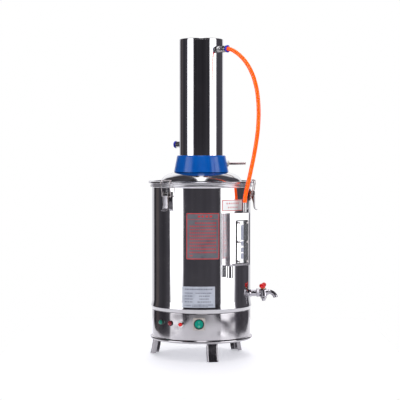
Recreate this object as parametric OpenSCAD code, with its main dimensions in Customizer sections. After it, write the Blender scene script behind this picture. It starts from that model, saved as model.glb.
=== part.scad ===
// Electric water distiller: boiler, lid, tubular condenser, level box,
// drain tap, control skirt and three legs. Millimetres, z = 0 on the floor,
// boiler axis on z, front towards -y, +x to the right.
// Azimuths are measured from the front (-y) and grow towards +x.

/* [Boiler] */
// Outer radius of the boiler and of the control skirt
body_r = 123; // [121:0.5:124]
// Sheet thickness of the polished shells
sheet_t = 1.2; // [1:0.1:1.4]
// Height of the seam between the skirt and the boiler
seam_z = 117; // [116:0.2:118]
// Centre height of the rolled bead around the skirt bottom
bead_z = 47.5; // [47:0.1:48]

/* [Condenser] */
// Outer radius of the condenser jacket
jacket_r = 54.5; // [54.2:0.1:54.7]
// Overall height
total_h = 789.5; // [788:0.5:792]
// Height of the cooling-water outlet fitting
outlet_z = 762; // [761.5:0.1:762.5]
// Height of the cooling-water inlet fitting
inlet_z = 527; // [524:1:560]
// Azimuth of the outlet fitting and of the hose plane
outlet_az = 50; // [49:0.5:51]
// Azimuth of the inlet fitting
inlet_az = -130; // [-150:1:-110]
// Height of the distillate nozzle
nozzle_z = 480; // [478:0.5:482]

/* [Level box] */
// Azimuth of the level box
box_az = 40; // [39:0.5:41]
// Width of the level box
box_w = 66; // [65:0.5:68]
// Distance of its front face from the boiler axis
box_front = 148; // [147:0.5:149]
// Height of the box bottom
box_z0 = 233.5; // [232:0.5:236]
// Height of the box top
box_z1 = 361.5; // [360:0.5:363]
// Sideways offset of the sight window on the box face
window_s = 4.5; // [2:0.5:6]

/* [Drain tap] */
// Azimuth of the drain tap
tap_az = 86; // [80:1:92]
// Height of the drain stub at the boiler wall
tap_z = 156; // [152:1:162]
// Upward tilt of the tap in degrees
tap_tilt = 4; // [0:1:6]

/* [Controls] */
// Height of the row of controls
control_z = 91; // [88:0.5:94]
// Azimuth of the green lamp
green_az = -52.3; // [-56:0.1:-51]
// Azimuth of the red lamp
red_az = -37.5; // [-39:0.1:-36]
// Azimuth of the reset button
reset_az = -23.6; // [-25:0.1:-22]
// Azimuth of the round rocker switch
switch_az = -2.6; // [-4:0.1:0]
// Side of the square switch plate
plate_w = 30; // [29:0.5:32]

/* [Legs and latches] */
// Azimuth of the front leg, the others follow at 120 degrees
leg_az = 12.8; // [10:0.2:16]
// Width of a leg
leg_w = 27; // [24:0.5:30]
// Azimuth of the left latch
latch_left_az = -41; // [-44:0.5:-38]
// Azimuth of the right latch
latch_right_az = 80; // [78:0.5:82]
// Azimuth of the rear latch
latch_rear_az = -160; // [-165:0.5:-155]

/* [Hose] */
// Outer diameter of the return hose
hose_d = 10; // [9.5:0.1:10]

/* [Hidden] */
$fn = 96;
inner_r = body_r - sheet_t;
flange_z = 430;             // top face of the boiler flange
lid_z = 434.3;              // top face of the lid flange
lid_bead = [128.7, 433.8];  // section centre of the rolled lid rim
lid_bead_r = 3.2;
floor_z = seam_z + 4;
jacket_in = jacket_r - sheet_t;
plate_lo = 508;             // lower tube plate
plate_hi = 770;             // upper tube plate
trough_z = 467;             // trough floor
stub_r = 138.5;             // radius of the level-box inlet stub
win_w = 38;
win_z0 = 238;
win_z1 = 344;
lever_p = [130, 408.4];     // lever pivot, radius and height
hook_r = 5.6;               // bend of the bail hook over the lid rim
bail_len = 33;              // straight run of the bail wire
bail_tilt = 9;              // lean of the closed bail
bail_p = lid_bead + [hook_r * cos(bail_tilt) - bail_len * sin(bail_tilt),
  -hook_r * sin(bail_tilt) - bail_len * cos(bail_tilt)];  // bail pivot, lever closed
bend = 3;
wire_r = 1.25;
bail_w = 14.25;
tap_c = 32.2;                // plug axis, distance from the boiler wall
silver = [0.82, 0.83, 0.85];

// ---------- frames and small helpers ----------
module az(a) rotate([0, 0, a]) children();
// local x tangential, y up, z outward, origin at radius r0
module radial(a, z, r0 = 0) az(a) translate([0, -r0, z]) rotate([90, 0, 0]) children();
module tap_frame() az(tap_az) translate([0, -body_r, tap_z]) rotate([90 - tap_tilt, 0, 0]) children();
// polygon in radius and height, extruded sideways from w0 to w1
module uz(w0, w1) translate([w1, 0, 0]) rotate([90, 0, -90]) linear_extrude(w1 - w0) children();
module wpin(p, w0, w1, r) translate([w0, -p[0], p[1]]) rotate([0, 90, 0]) cylinder(r = r, h = w1 - w0);
module tube(r, ri, h) difference() {
  cylinder(r = r, h = h);
  translate([0, 0, -1]) cylinder(r = ri, h = h + 2);
}
module hexagon(r, h) cylinder(r = r, h = h, $fn = 6);
function bez(p, t) = pow(1 - t, 3) * p[0] + 3 * pow(1 - t, 2) * t * p[1]
  + 3 * (1 - t) * t * t * p[2] + t * t * t * p[3];
function bez_line(p, n) = [for (i = [0 : n]) bez(p, i / n)];
function bez_rest(p, n) = [for (i = [1 : n]) bez(p, i / n)];
function rev(v) = [for (i = [len(v) - 1 : -1 : 0]) v[i]];

// ---------- boiler and base ----------
module boiler_shell() color(silver) difference() {
  rotate_extrude() {
    translate([inner_r, seam_z]) square([sheet_t, flange_z - seam_z]);
    translate([0, floor_z]) square([body_r - 0.4, sheet_t]);
    // swaged bulge above the seam
    polygon([[inner_r, seam_z], [body_r - 0.1, seam_z], [body_r - 0.1, seam_z + 1],
      [body_r + 2.4, seam_z + 9.5], [body_r, seam_z + 22.5], [inner_r, seam_z + 22.5]]);
    translate([inner_r, flange_z - 1.2]) square([124.6 - inner_r, 1.2]);
    intersection() {
      translate([body_r + 0.9, flange_z - 5.4]) circle(r = 3.4);
      translate([inner_r, flange_z - 12]) square([10, 11]);
    }
  }
  tap_frame() translate([0, 0, -8]) cylinder(r = 8.6, h = 16);
  radial(box_az, box_z0 + 14, body_r - 6) cylinder(r = 5, h = 12);
  radial(box_az, box_z1 - 14, body_r - 6) cylinder(r = 4, h = 12);
  element_legs() translate([0, 0, floor_z - 5]) cylinder(r = 4.2, h = 12);
}

module base_skirt() color(silver) difference() {
  rotate_extrude() {
    translate([inner_r, 44]) square([sheet_t, seam_z - 44]);
    translate([112, seam_z - 1.2]) square([inner_r - 112 + 0.6, 1.2]);
    translate([112, 46.2]) square([inner_r - 112 + 0.6, 1.2]);
    intersection() {
      translate([body_r + 0.5, bead_z]) circle(r = 4.2);
      translate([inner_r, 40]) square([10, 15]);
    }
  }
  radial(green_az, control_z, body_r - 5) cylinder(r = 4.1, h = 10);
  radial(red_az, control_z, body_r - 5) cylinder(r = 4.1, h = 10);
  radial(reset_az, control_z - 1, body_r - 5) cylinder(r = 5.7, h = 10);
  radial(switch_az, control_z + 1, body_r - 8) cylinder(r = 11.3, h = 16);
  radial(165, 80, body_r - 5) cylinder(r = 7.6, h = 10);
}

module base_plate() color([0.75, 0.76, 0.78]) difference() {
  translate([0, 0, 45]) cylinder(r = inner_r - 0.2, h = 1.2);
  leg_seats() translate([0, 0, 40]) cylinder(r = 2.55, h = 10);
  for (ring = [30, 55]) for (i = [0 : 9])
    rotate([0, 0, i * 36 + ring]) translate([ring, 0, 40]) cylinder(r = 3, h = 10);
}

module leg_seats() for (i = [0 : 2]) for (s = [-1, 1])
  az(leg_az + 120 * i) translate([s * 7, -104, 0]) children();

leg_out = concat(bez_line([[116, 45], [119.5, 43.9], [126.8, 43.6], [127.2, 37]], 7),
  bez_rest([[127.2, 37], [127.4, 25], [127.6, 11], [133.3, -3]], 9));
leg_in = concat(bez_line([[116, 43.4], [119, 42.3], [125.2, 42], [125.6, 36.5]], 7),
  bez_rest([[125.6, 36.5], [125.8, 24.6], [126, 10.6], [131.4, -3.4]], 9));
leg_back = bez_line([[111, 44.6], [111.5, 26], [112, 8], [118.5, -3]], 14);
module one_leg() intersection() {
  union() {
    uz(-leg_w / 2, leg_w / 2) polygon(concat(leg_out, rev(leg_in)));
    for (s = [0, 1]) uz(s ? leg_w / 2 - 1.6 : -leg_w / 2, s ? leg_w / 2 : -leg_w / 2 + 1.6)
      polygon(concat(leg_out, rev(leg_back)));
    translate([-leg_w / 2, -119, 43.4]) cube([leg_w, 21, 1.6]);
  }
  translate([-30, -160, 0]) cube([60, 80, 45]);
}
module legs() color([0.78, 0.79, 0.81]) difference() {
  for (i = [0 : 2]) az(leg_az + 120 * i) one_leg();
  leg_seats() translate([0, 0, 40]) cylinder(r = 2.55, h = 10);
}
module leg_bolts() color([0.6, 0.6, 0.62]) leg_seats() {
  translate([0, 0, 39.9]) hexagon(4.4, 3.5);
  translate([0, 0, 43.3]) cylinder(r = 2.5, h = 7);
  translate([0, 0, 46.2]) hexagon(4.4, 3.4);
}

// ---------- heating elements ----------
el_half = 22;   // half the pitch of a hairpin
module element_spots() for (i = [0 : 2]) az(60 + 120 * i) translate([0, -52, 0]) children();
module element_legs() element_spots() for (s = [-1, 1]) translate([s * el_half, 0, 0]) children();
module heating_elements() color([0.35, 0.34, 0.36]) {
  element_spots() translate([0, 0, 205]) rotate([90, 0, 0]) rotate_extrude(angle = 180)
    translate([el_half, 0]) circle(r = 4);
  element_legs() {
    translate([0, 0, 112]) cylinder(r = 4, h = 93);
    translate([0, 0, 103]) cylinder(r = 2, h = 9);
  }
}
module element_nuts() color([0.78, 0.66, 0.32]) element_legs() {
  difference() {
    translate([0, 0, floor_z - 6.5]) hexagon(7.4, 6.5);
    translate([0, 0, floor_z - 8]) cylinder(r = 4.1, h = 12);
  }
}

// ---------- lid ----------
dome = bez_line([[101, lid_z], [99.5, 447], [84, 457.5], [51, 459.8]], 20);
module lid() color(silver) rotate_extrude() {
  translate(lid_bead) circle(r = lid_bead_r);
  translate([99.8, lid_z - 1.2]) square([lid_bead[0] - 99.8, 1.2]);
  polygon(concat(dome, rev([for (p = dome) p - [1.1, 1.2]])));
  translate([49.9, 457.4]) square([1.2, trough_z - 457.4]);
}
module lid_gasket() color([0.85, 0.83, 0.8]) translate([0, 0, flange_z])
  tube(124.2, 118.5, lid_z - 1.2 - flange_z);
module splash_baffle() color(silver) {
  translate([0, 0, 424]) cylinder(r = 84, h = 1.2);
  for (i = [0 : 2]) rotate([0, 0, 120 * i + 15]) translate([70, 0, 425]) cylinder(r = 2.5, h = 30);
}

// ---------- condenser ----------
module condenser_jacket() color(silver) difference() {
  translate([0, 0, 460.5]) tube(jacket_r, jacket_in, total_h - 4 - 460.5);
  radial(outlet_az, outlet_z, 45) cylinder(r = 5.6, h = 20);
  radial(inlet_az, inlet_z, 45) cylinder(r = 5.6, h = 20);
  radial(90, nozzle_z, 45) cylinder(r = 3.7, h = 20);
}
module condenser_cap() color(silver) rotate_extrude() difference() {
  union() {
    translate([0, total_h - 4]) square([jacket_r - 3.2, 4]);
    translate([0, total_h - 4]) square([jacket_r, 0.8]);
    translate([jacket_r - 3.2, total_h - 3.2]) circle(r = 3.2);
  }
  translate([0, total_h - 10]) square([jacket_r + 5, 6]);
}
module tube_spots() {
  children();
  for (i = [0 : 5]) rotate([0, 0, 60 * i]) translate([32, 0, 0]) children();
}
module condenser_tubes() color(silver) tube_spots()
  translate([0, 0, plate_lo - 2]) tube(8, 7, plate_hi - plate_lo + 6);
module tube_plates() color(silver) for (z = [plate_lo, plate_hi]) difference() {
  translate([0, 0, z]) cylinder(r = jacket_in - 0.15, h = 2);
  tube_spots() translate([0, 0, z - 2]) cylinder(r = 8.1, h = 8);
}
module distillate_trough() color(silver) difference() {
  union() {
    translate([0, 0, trough_z]) tube(jacket_in - 0.2, 20, 1.2);
    translate([0, 0, trough_z]) tube(jacket_in - 0.2, jacket_in - 1.4, 26);
    translate([0, 0, trough_z]) tube(21.2, 20, 28);
  }
  radial(90, nozzle_z, 45) cylinder(r = 3.7, h = 20);
}
module drip_cap() color(silver) {
  rotate_extrude() polygon([[0, 505], [31, 498], [31, 499.2], [0, 506.2]]);
  for (i = [0 : 2]) rotate([0, 0, 120 * i]) translate([20.6, 0, trough_z + 28])
    cylinder(r = 0.6, h = 6);
}

// blue collar between the lid and the condenser
collar_fillet = [for (i = [0 : 8]) [56.4 + 4.6 * cos(11 + i * 9.875), 495.6 + 4.6 * sin(11 + i * 9.875)]];
module collar() color([0.05, 0.3, 0.65]) difference() {
  rotate_extrude() polygon(concat([[65.9, 458.4], [68.4, 458.4]], collar_fillet,
    [[54.9, 500.2], [54.9, 497.4], [58, 494]]));
  radial(90, nozzle_z, 45) cylinder(r = 3.7, h = 40);
}
module distillate_nozzle() color(silver) difference() {
  union() {
    radial(90, nozzle_z, 51.5) cylinder(r = 3.2, h = 20.5);
    radial(90, nozzle_z, 71.2) cylinder(r = 3.5, h = 39.8);
  }
  radial(90, nozzle_z, 50) cylinder(r = 2.3, h = 70);
  for (i = [0 : 4]) radial(90, nozzle_z, 93 + i * 3.4) tube(6, 2.95, 1.2);
}
module nozzle_washer() color([0.93, 0.91, 0.86]) difference() {
  radial(90, nozzle_z, 64.65) rotate([11.1, 0, 0]) translate([0, 0, -0.35]) cylinder(r = 7.4, h = 5);
  radial(90, nozzle_z, 45) cylinder(r = 3.7, h = 60);
  rotate_extrude() polygon([[40, 458.2], [68.6, 458.2], [61.1, 496.4], [40, 496.4]]);
}

// ---------- push-in fittings ----------
module fitting(a, z) radial(a, z) difference() {
  union() {
    translate([0, 0, 52.6]) cylinder(r = 5.5, h = 4);
    translate([0, 0, jacket_r + 0.3]) hexagon(9.4, 7.5);
    translate([0, 0, 61]) cylinder(r = 8.4, h = 19);
  }
  translate([0, 0, 50]) cylinder(r = 3.5, h = 20);
  translate([0, 0, 60]) cylinder(r = 5.15, h = 30);
  translate([0, 0, 68.5]) cylinder(r = 6.8, h = 20);
}
module release_ring(a, z) radial(a, z) difference() {
  union() {
    translate([0, 0, 70.5]) cylinder(r = 6.7, h = 13);
    translate([0, 0, 82.4]) cylinder(r = 9.2, h = 3);
  }
  translate([0, 0, 60]) cylinder(r = 5.4, h = 40);
}
module inlet_fitting() color([0.75, 0.76, 0.78]) fitting(inlet_az, inlet_z);
module outlet_fitting() color([0.75, 0.76, 0.78]) fitting(outlet_az, outlet_z);
module inlet_ring() color([0.15, 0.25, 0.75]) release_ring(inlet_az, inlet_z);
module outlet_ring() color([0.15, 0.25, 0.75]) release_ring(outlet_az, outlet_z);

// ---------- return hose ----------
// route in its own upright plane: radius from the axis and height
hose_via = [[62, outlet_z], [72, outlet_z], [81.5, outlet_z], [87.8, 761.55], [94, 760.2], [100, 758],
  [107, 754.3], [116, 748.8], [125.2, 742.2], [134.6, 734], [144, 723.8], [153.4, 711.2],
  [164.6, 690.6], [174.2, 662.4], [179, 633.4], [180.6, 604.4], [179.4, 575.5], [175.9, 546.5],
  [167.1, 503], [155.8, 459.2], [146.2, 425], [142, 410], [139.4, 398], [stub_r, 386]];
function cat(a, b, c, d, t) = 0.5 * (2 * b + (c - a) * t + (2 * a - 5 * b + 4 * c - d) * t * t
  + (3 * b - a - 3 * c + d) * t * t * t);
function hose_pt(i, t) = let (n = len(hose_via))
  cat(hose_via[max(i - 1, 0)], hose_via[i], hose_via[min(i + 1, n - 1)], hose_via[min(i + 2, n - 1)], t);
hose_line = concat([for (i = [0 : len(hose_via) - 2]) for (k = [0 : 2]) hose_pt(i, k / 3)],
  [hose_via[len(hose_via) - 1]]);
function hose_dir(i) = let (n = len(hose_line), a = max(i - 1, 0), b = min(i + 1, n - 1),
  v = i == n - 1 ? [0, -1] : i == 0 ? [1, 0] : hose_line[b] - hose_line[a]) v / norm(v);
hose_n = 12;
function hose_ring(i) = let (p = hose_line[i], d = hose_dir(i), m = [d[1], -d[0]])
  [for (k = [0 : hose_n - 1]) let (c = hose_d / 2 * cos(k * 30), s = hose_d / 2 * sin(k * 30))
    [s, -(p[0] + m[0] * c), p[1] + m[1] * c]];
module return_hose() color([1, 0.42, 0.08]) az(outlet_az) let (m = len(hose_line), n = hose_n)
  polyhedron(points = [for (i = [0 : m - 1]) each hose_ring(i)],
    faces = concat([[for (k = [n - 1 : -1 : 0]) k]],
      [for (i = [0 : m - 2]) for (k = [0 : n - 1])
        [i * n + k, i * n + (k + 1) % n, (i + 1) * n + (k + 1) % n, (i + 1) * n + k]],
      [[for (k = [0 : n - 1]) (m - 1) * n + k]]));

// ---------- level box ----------
stub_at = [stub_r * sin(outlet_az - box_az), -stub_r * cos(outlet_az - box_az)];
// tapering plan and a shallow bevel round the front face, drawn in by d
module box_block(d) intersection() {
  translate([0, 0, box_z0 + d]) linear_extrude(box_z1 - box_z0 - 2 * d)
    polygon([[-box_w / 2 - 2.7 + d, -105 + 4 * d], [-box_w / 2 + 0.8 + d, -box_front + 1.6 + d],
      [-box_w / 2 + 7, -box_front + d], [box_w / 2 - 7, -box_front + d],
      [box_w / 2 - 0.8 - d, -box_front + 1.6 + d], [box_w / 2 + 2.7 - d, -105 + 4 * d]]);
  translate([-60, 0, 0]) rotate([90, 0, 90]) linear_extrude(120)
    polygon([[-90, box_z0 + d], [-box_front + 0.6 + d, box_z0 + d], [-box_front + d, box_z0 + 5.2],
      [-box_front + d, box_z1 - 5.2], [-box_front + 0.6 + d, box_z1 - d], [-90, box_z1 - d]]);
}
module window_spots() for (s = [-1, 1]) for (z = [244, 291, 338])
  translate([window_s + s * 12.3, 0, z]) children();
module level_box() color(silver) az(box_az) difference() {
  box_block(0);
  box_block(1.2);
  translate([0, 0, box_z0 - 5]) cylinder(r = body_r + 0.15, h = box_z1 - box_z0 + 10);
  translate([stub_at[0], stub_at[1], box_z1 - 5]) cylinder(r = 4.7, h = 10);
  translate([-24.5, -137.5, box_z0 - 5]) cylinder(r = 7.1, h = 10);
  for (q = [[296, 36], [282, 10.5], [266.5, 10.5], [250, 13]])
    translate([window_s - 4.6, -box_front - 5, q[0]]) cube([9.2, 10, q[1]]);
  window_spots() translate([0, -box_front + 5, 0]) rotate([90, 0, 0]) cylinder(r = 1.6, h = 10);
}
module level_stub() color(silver) az(box_az) translate([stub_at[0], stub_at[1], box_z1 - 8])
  tube(4.6, 3.2, 386 - box_z1 + 8);
module overflow_pipe() color(silver) az(box_az) translate([-24.5, -137.5, 204])
  difference() {
    union() {
      cylinder(r = 7.4, h = box_z0 - 204.5);
      cylinder(r = 6.8, h = 116);
    }
    translate([0, 0, -1]) cylinder(r = 5.8, h = 120);
  }
module window_gasket() color([0.12, 0.12, 0.13]) az(box_az) difference() {
  translate([window_s - win_w / 2, -box_front - 1.5, win_z0]) cube([win_w, 1.45, win_z1 - win_z0]);
  translate([window_s - win_w / 2 + 2.1, -box_front - 5, win_z0 + 2.1])
    cube([win_w - 4.2, 10, win_z1 - win_z0 - 4.2]);
}
module sight_window() color([0.85, 0.92, 0.95, 0.5]) az(box_az) difference() {
  translate([window_s - win_w / 2 + 1, -box_front - 4.6, win_z0 + 1])
    cube([win_w - 2, 3.05, win_z1 - win_z0 - 2]);
  window_spots() translate([0, -box_front + 5, 0]) rotate([90, 0, 0]) cylinder(r = 1.6, h = 14);
}
module window_screws() color([0.7, 0.7, 0.72]) az(box_az) window_spots() difference() {
  union() {
    translate([0, -box_front + 4, 0]) rotate([90, 0, 0]) cylinder(r = 1.5, h = 9.5);
    translate([0, -box_front - 4.65, 0]) rotate([90, 0, 0]) cylinder(r = 2.7, h = 1.7);
  }
  translate([-3, -box_front - 8, -0.4]) cube([6, 2.3, 0.8]);
}

// ---------- drain tap ----------
module drain_stub() color(silver) tap_frame() difference() {
  translate([0, 0, -3.2]) cylinder(r = 8.5, h = tap_c - 8.5);
  translate([0, 0, -10]) cylinder(r = 6, h = 60);
}
module tap_up() translate([0, 0, tap_c]) rotate([-90, 0, 0]) children();
module tap_body() color([0.8, 0.8, 0.8]) tap_frame() difference() {
  union() {
    translate([0, 0, tap_c - 17]) hexagon(11.6, 8);
    translate([0, 0, tap_c - 10]) cylinder(r = 7.6, h = 23);
    tap_up() translate([0, 0, -11.5]) cylinder(r = 9.4, h = 20.5);
  }
  translate([0, 0, tap_c - 20]) cylinder(r = 8.55, h = 8.4);
  translate([0, 0, tap_c - 20]) cylinder(r = 4.5, h = 50);
  tap_up() translate([0, 0, -20]) cylinder(r = 6.08, h = 50);
}
module tap_spout() color([0.8, 0.8, 0.8]) tap_frame() translate([0, -17, tap_c + 13.05]) rotate([90, 0, 90])
  rotate_extrude(angle = 82) translate([17, 0]) difference() {
    circle(r = 5.75);
    circle(r = 4.2);
  }
module tap_plug() color([0.78, 0.66, 0.32]) tap_frame() tap_up() difference() {
  union() {
    translate([0, 0, -11.3]) cylinder(r = 6, h = 21.2);
    translate([0, 0, 9.5]) cylinder(r = 3.6, h = 8);
    translate([0, 0, -20]) cylinder(r = 3, h = 10);
  }
  rotate([0, 90, 0]) translate([0, 0, -10]) cylinder(r = 4, h = 20);
}
module tap_handle() color([0.9, 0.15, 0.15]) tap_frame() tap_up() rotate([0, 0, -11]) difference() {
  union() {
    translate([0, 0, 10.2]) cylinder(r = 6, h = 10.5);
    translate([0, 0, 17]) rotate([0, 90, 0]) translate([0, 0, -13.5]) cylinder(r = 3.4, h = 27);
    for (s = [-1, 1]) translate([s * 13.5, 0, 17.2]) sphere(r = 5.9);
  }
  translate([0, 0, 5]) cylinder(r = 3.66, h = 12.6);
}
module tap_nut() color([0.8, 0.8, 0.8]) tap_frame() tap_up() difference() {
  union() {
    translate([0, 0, -15.6]) cylinder(r = 7.2, h = 3.6);
    translate([0, 0, -21.5]) cylinder(r1 = 4, r2 = 6, h = 6);
  }
  translate([0, 0, -20.1]) cylinder(r = 3.06, h = 20);
}

// ---------- toggle latches ----------
module latch_azs() for (a = [latch_left_az, latch_right_az, latch_rear_az]) az(a) children();
module latch_brackets() color([0.75, 0.76, 0.78]) latch_azs() difference() {
  union() {
    translate([-6.8, -body_r - 1.4, 388]) cube([13.6, 1.2, 29]);
    for (s = [-1, 1]) {
      uz(s > 0 ? 5.6 : -6.8, s > 0 ? 6.8 : -5.6) {
        translate([body_r + 0.9, lever_p[1] - 3.5]) square([lever_p[0] - body_r - 0.9, 7]);
        translate(lever_p) circle(r = 3.5);
      }
    }
    translate([0, -body_r - 1, 393]) rotate([90, 0, 0]) cylinder(r = 2.2, h = 1.6);
    translate([0, -body_r - 1, 413]) rotate([90, 0, 0]) cylinder(r = 2.2, h = 1.6);
  }
  wpin(lever_p, -20, 20, 1.56);
}
module latch_pins() color([0.6, 0.6, 0.62]) latch_azs() {
  wpin(lever_p, -9.5, 9.5, 1.5);
  for (s = [-1, 1]) wpin(lever_p, s > 0 ? 8.7 : -9.6, s > 0 ? 9.6 : -8.7, 2.5);
}
tip = bez_line([[134.6, 376], [134.6, 370.5], [136, 367.6], [141, 366]], 6);
module lever() difference() {
  union() {
    for (s = [-1, 1]) uz(s > 0 ? 7.2 : -8.4, s > 0 ? 8.4 : -7.2) {
      translate(lever_p) circle(r = 4.3);
      polygon([[125.9, 403], [125.9, 399], [128, 394], [131.6, 384], [133.2, 374], [134.6, 376],
        [134.6, 402.4], [133.6, 408.4], [130, 408.4]]);
    }
    uz(-8.4, 8.4) translate([133.4, 375.5]) square([1.2, 26.9]);
    uz(-8.4, 8.4) polygon(concat(tip, rev([for (p = tip) p - [1.2, 0.9]])));
  }
  wpin(lever_p, -20, 20, 1.56);
  wpin(bail_p, -20, 20, 1.32);
}
module bail() translate([0, -bail_p[0], bail_p[1]]) rotate([bail_tilt, 0, 0]) {
  for (s = [-1, 1]) {
    translate([s > 0 ? 7 : -bail_w + bend, 0, 0]) rotate([0, 90, 0])
      cylinder(r = wire_r, h = bail_w - bend - 7);
    translate([s * (bail_w - bend), 0, bend]) rotate([90, 0, 0]) rotate([0, 0, s > 0 ? -90 : 180])
      rotate_extrude(angle = 90) translate([bend, 0]) circle(r = wire_r);
    translate([s * bail_w, 0, bend]) cylinder(r = wire_r, h = bail_len - bend);
    // hook over the lid rim: a quarter turn about the rim bead, in the leaning frame
    translate([s * bail_w, hook_r, bail_len]) rotate([90, 0, -90])
      rotate_extrude(angle = 90) translate([hook_r, 0]) circle(r = wire_r);
    translate([s * (bail_w - bend), hook_r, bail_len + hook_r]) rotate([0, 0, s > 0 ? 0 : 90])
      rotate_extrude(angle = 90) translate([bend, 0]) circle(r = wire_r);
  }
  translate([-bail_w + bend, hook_r + bend, bail_len + hook_r]) rotate([0, 90, 0])
    cylinder(r = wire_r, h = 2 * (bail_w - bend));
}
module lever_left() color(silver) az(latch_left_az) lever();
module lever_right() color(silver) az(latch_right_az) lever();
module lever_rear() color(silver) az(latch_rear_az) lever();
module bail_left() color(silver) az(latch_left_az) bail();
module bail_right() color(silver) az(latch_right_az) bail();
module bail_rear() color(silver) az(latch_rear_az) bail();

// ---------- controls ----------
module lamp_spots() for (a = [green_az, red_az]) radial(a, control_z) children();
module lamp_bodies() color([0.2, 0.2, 0.22]) difference() {
  lamp_spots() {
    translate([0, 0, 100]) cylinder(r = 4, h = 24);
    translate([0, 0, 122]) cylinder(r = 6.6, h = 3.2);
  }
  difference() {
    translate([0, 0, control_z - 20]) cylinder(r = body_r + 0.1, h = 40);
    lamp_spots() translate([0, 0, 99]) cylinder(r = 4, h = 30);
  }
}
module lamp_nuts() color([0.6, 0.6, 0.62]) lamp_spots() difference() {
  translate([0, 0, 117]) hexagon(6.5, 3.8);
  translate([0, 0, 110]) cylinder(r = 4.05, h = 20);
}
module lens() difference() {
  union() {
    translate([0, 0, 125.25]) cylinder(r = 5.6, h = 1.4);
    translate([0, 0, 126.3]) sphere(r = 5.2);
  }
  translate([0, 0, 110]) cylinder(r = 20, h = 15.25);
}
module green_lens() color([0, 0.5, 0.42]) radial(green_az, control_z) lens();
module red_lens() color([0.6, 0.1, 0.15]) radial(red_az, control_z) lens();
module thermal_cutout() color([0.18, 0.18, 0.2]) radial(reset_az, control_z - 1) difference() {
  union() {
    translate([-12, -15, 92]) cube([24, 30, 25]);
    translate([0, 0, 116]) cylinder(r = 5.5, h = 8.3);
  }
  translate([0, 0, 103]) cylinder(r = 2.3, h = 30);
  translate([0, 0, 117]) cylinder(r = 4.7, h = 20);
}
module button_bezel() color([0.85, 0.85, 0.87]) difference() {
  radial(reset_az, control_z - 1) difference() {
    translate([0, 0, 122]) cylinder(r = 7.2, h = 5);
    translate([0, 0, 120]) cylinder(r = 4.75, h = 20);
    translate([0, 0, 120]) cylinder(r = 5.6, h = 4.5);
  }
  translate([0, 0, control_z - 20]) cylinder(r = body_r + 0.1, h = 40);
}
module reset_button() color([0.9, 0.15, 0.18]) radial(reset_az, control_z - 1) {
  translate([0, 0, 121.5]) cylinder(r = 4.45, h = 9);
  translate([0, 0, 130.5]) cylinder(r1 = 4.45, r2 = 3.4, h = 1.4);
  translate([0, 0, 108]) cylinder(r = 2, h = 14);
}
module switch_plate() color([0.8, 0.78, 0.72]) difference() {
  radial(switch_az, control_z + 1) difference() {
    union() {
      translate([-plate_w / 2 + 3, -plate_w / 2, 118]) cube([plate_w - 6, plate_w, 9.5]);
      translate([-plate_w / 2, -plate_w / 2 + 3, 118]) cube([plate_w, plate_w - 6, 9.5]);
      for (s = [-1, 1]) for (q = [-1, 1])
        translate([s * (plate_w / 2 - 3), q * (plate_w / 2 - 3), 118]) cylinder(r = 3, h = 9.5);
    }
    translate([0, 0, 110]) cylinder(r = 11, h = 30);
    translate([-12.9, 0, 125]) rotate([0, 90, 0]) cylinder(r = 1.58, h = 25.8);
  }
  translate([0, 0, control_z - 30]) cylinder(r = body_r + 0.1, h = 60);
}
module switch_body() color([0.15, 0.15, 0.16]) radial(switch_az, control_z + 1) {
  translate([0, 0, 99]) cylinder(r = 10.9, h = 20);
  for (y = [-5, 0, 5]) translate([-2.4, y - 0.4, 91]) cube([4.8, 0.8, 8.5]);
}
module switch_rocker() color([0, 0.58, 0.42]) radial(switch_az, control_z + 1)
  translate([0, 0, 125]) rotate([8, 0, 0]) {
    translate([0, 0, -2.2]) cylinder(r = 10.6, h = 3.7);
    translate([0, 0, 1.5]) cylinder(r1 = 10.6, r2 = 9.4, h = 1.9);
    translate([-12.6, 0, 0]) rotate([0, 90, 0]) cylinder(r = 1.5, h = 25.2);
  }

// ---------- inside the skirt ----------
module contactor() color([0.22, 0.22, 0.24]) translate([-58, 4, 46.2]) {
  cube([45, 56, 40]);
  translate([6, 8, 40]) cube([33, 40, 8]);
}
module terminal_block() color([0.9, 0.88, 0.8]) difference() {
  translate([16, 34, 46.2]) cube([56, 20, 22]);
  for (i = [0 : 4]) translate([22 + i * 11, 44, 60]) cylinder(r = 3, h = 12);
}
module wiring_loom() color([0.15, 0.15, 0.17]) for (i = [0 : 2]) {
  az(-60 + i * 4) rotate([0, 0, -90]) rotate_extrude(angle = 200)
    translate([106 - i * 0.2, 58 + i * 5]) circle(r = 1.7);
}
module cable_gland() color([0.14, 0.14, 0.15]) radial(165, 80) {
  difference() {
    union() {
      translate([0, 0, 114]) cylinder(r = 7.5, h = 11);
      translate([0, 0, body_r + 0.2]) hexagon(11, 6);
      translate([0, 0, 128]) cylinder(r = 9.4, h = 9);
      translate([0, 0, 137]) cylinder(r1 = 9.4, r2 = 7, h = 4);
    }
    translate([0, 0, 100]) cylinder(r = 4.5, h = 60);
  }
  difference() {
    translate([0, 0, 115.5]) hexagon(11, 4.6);
    translate([0, 0, 110]) cylinder(r = 7.55, h = 20);
  }
}

// ---------- plain panels on the boiler wall ----------
module skin(a0, a1) rotate([0, 0, a0 - 90]) rotate_extrude(angle = a1 - a0) children();
module flat_skin(z0, z1) translate([body_r + 0.05, z0]) square([0.45, z1 - z0]);
flare_top = seam_z + 22.5;
flare_r = body_r + 2.4 * (flare_top - 132) / 13;   // wall radius at the plate's lower edge
module front_panels() color([0.85, 0.85, 0.88]) {
  skin(-17.2, 20.7) flat_skin(249, 361.6);
  skin(23.9, 54.4) flat_skin(365, 393.3);
  // the lower plate follows the bulge
  skin(-22, 15.6) polygon([[flare_r + 0.05, 132], [flare_r + 0.5, 132], [body_r + 0.5, flare_top],
    [body_r + 0.5, 183], [body_r + 0.05, 183], [body_r + 0.05, flare_top]]);
}

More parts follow.
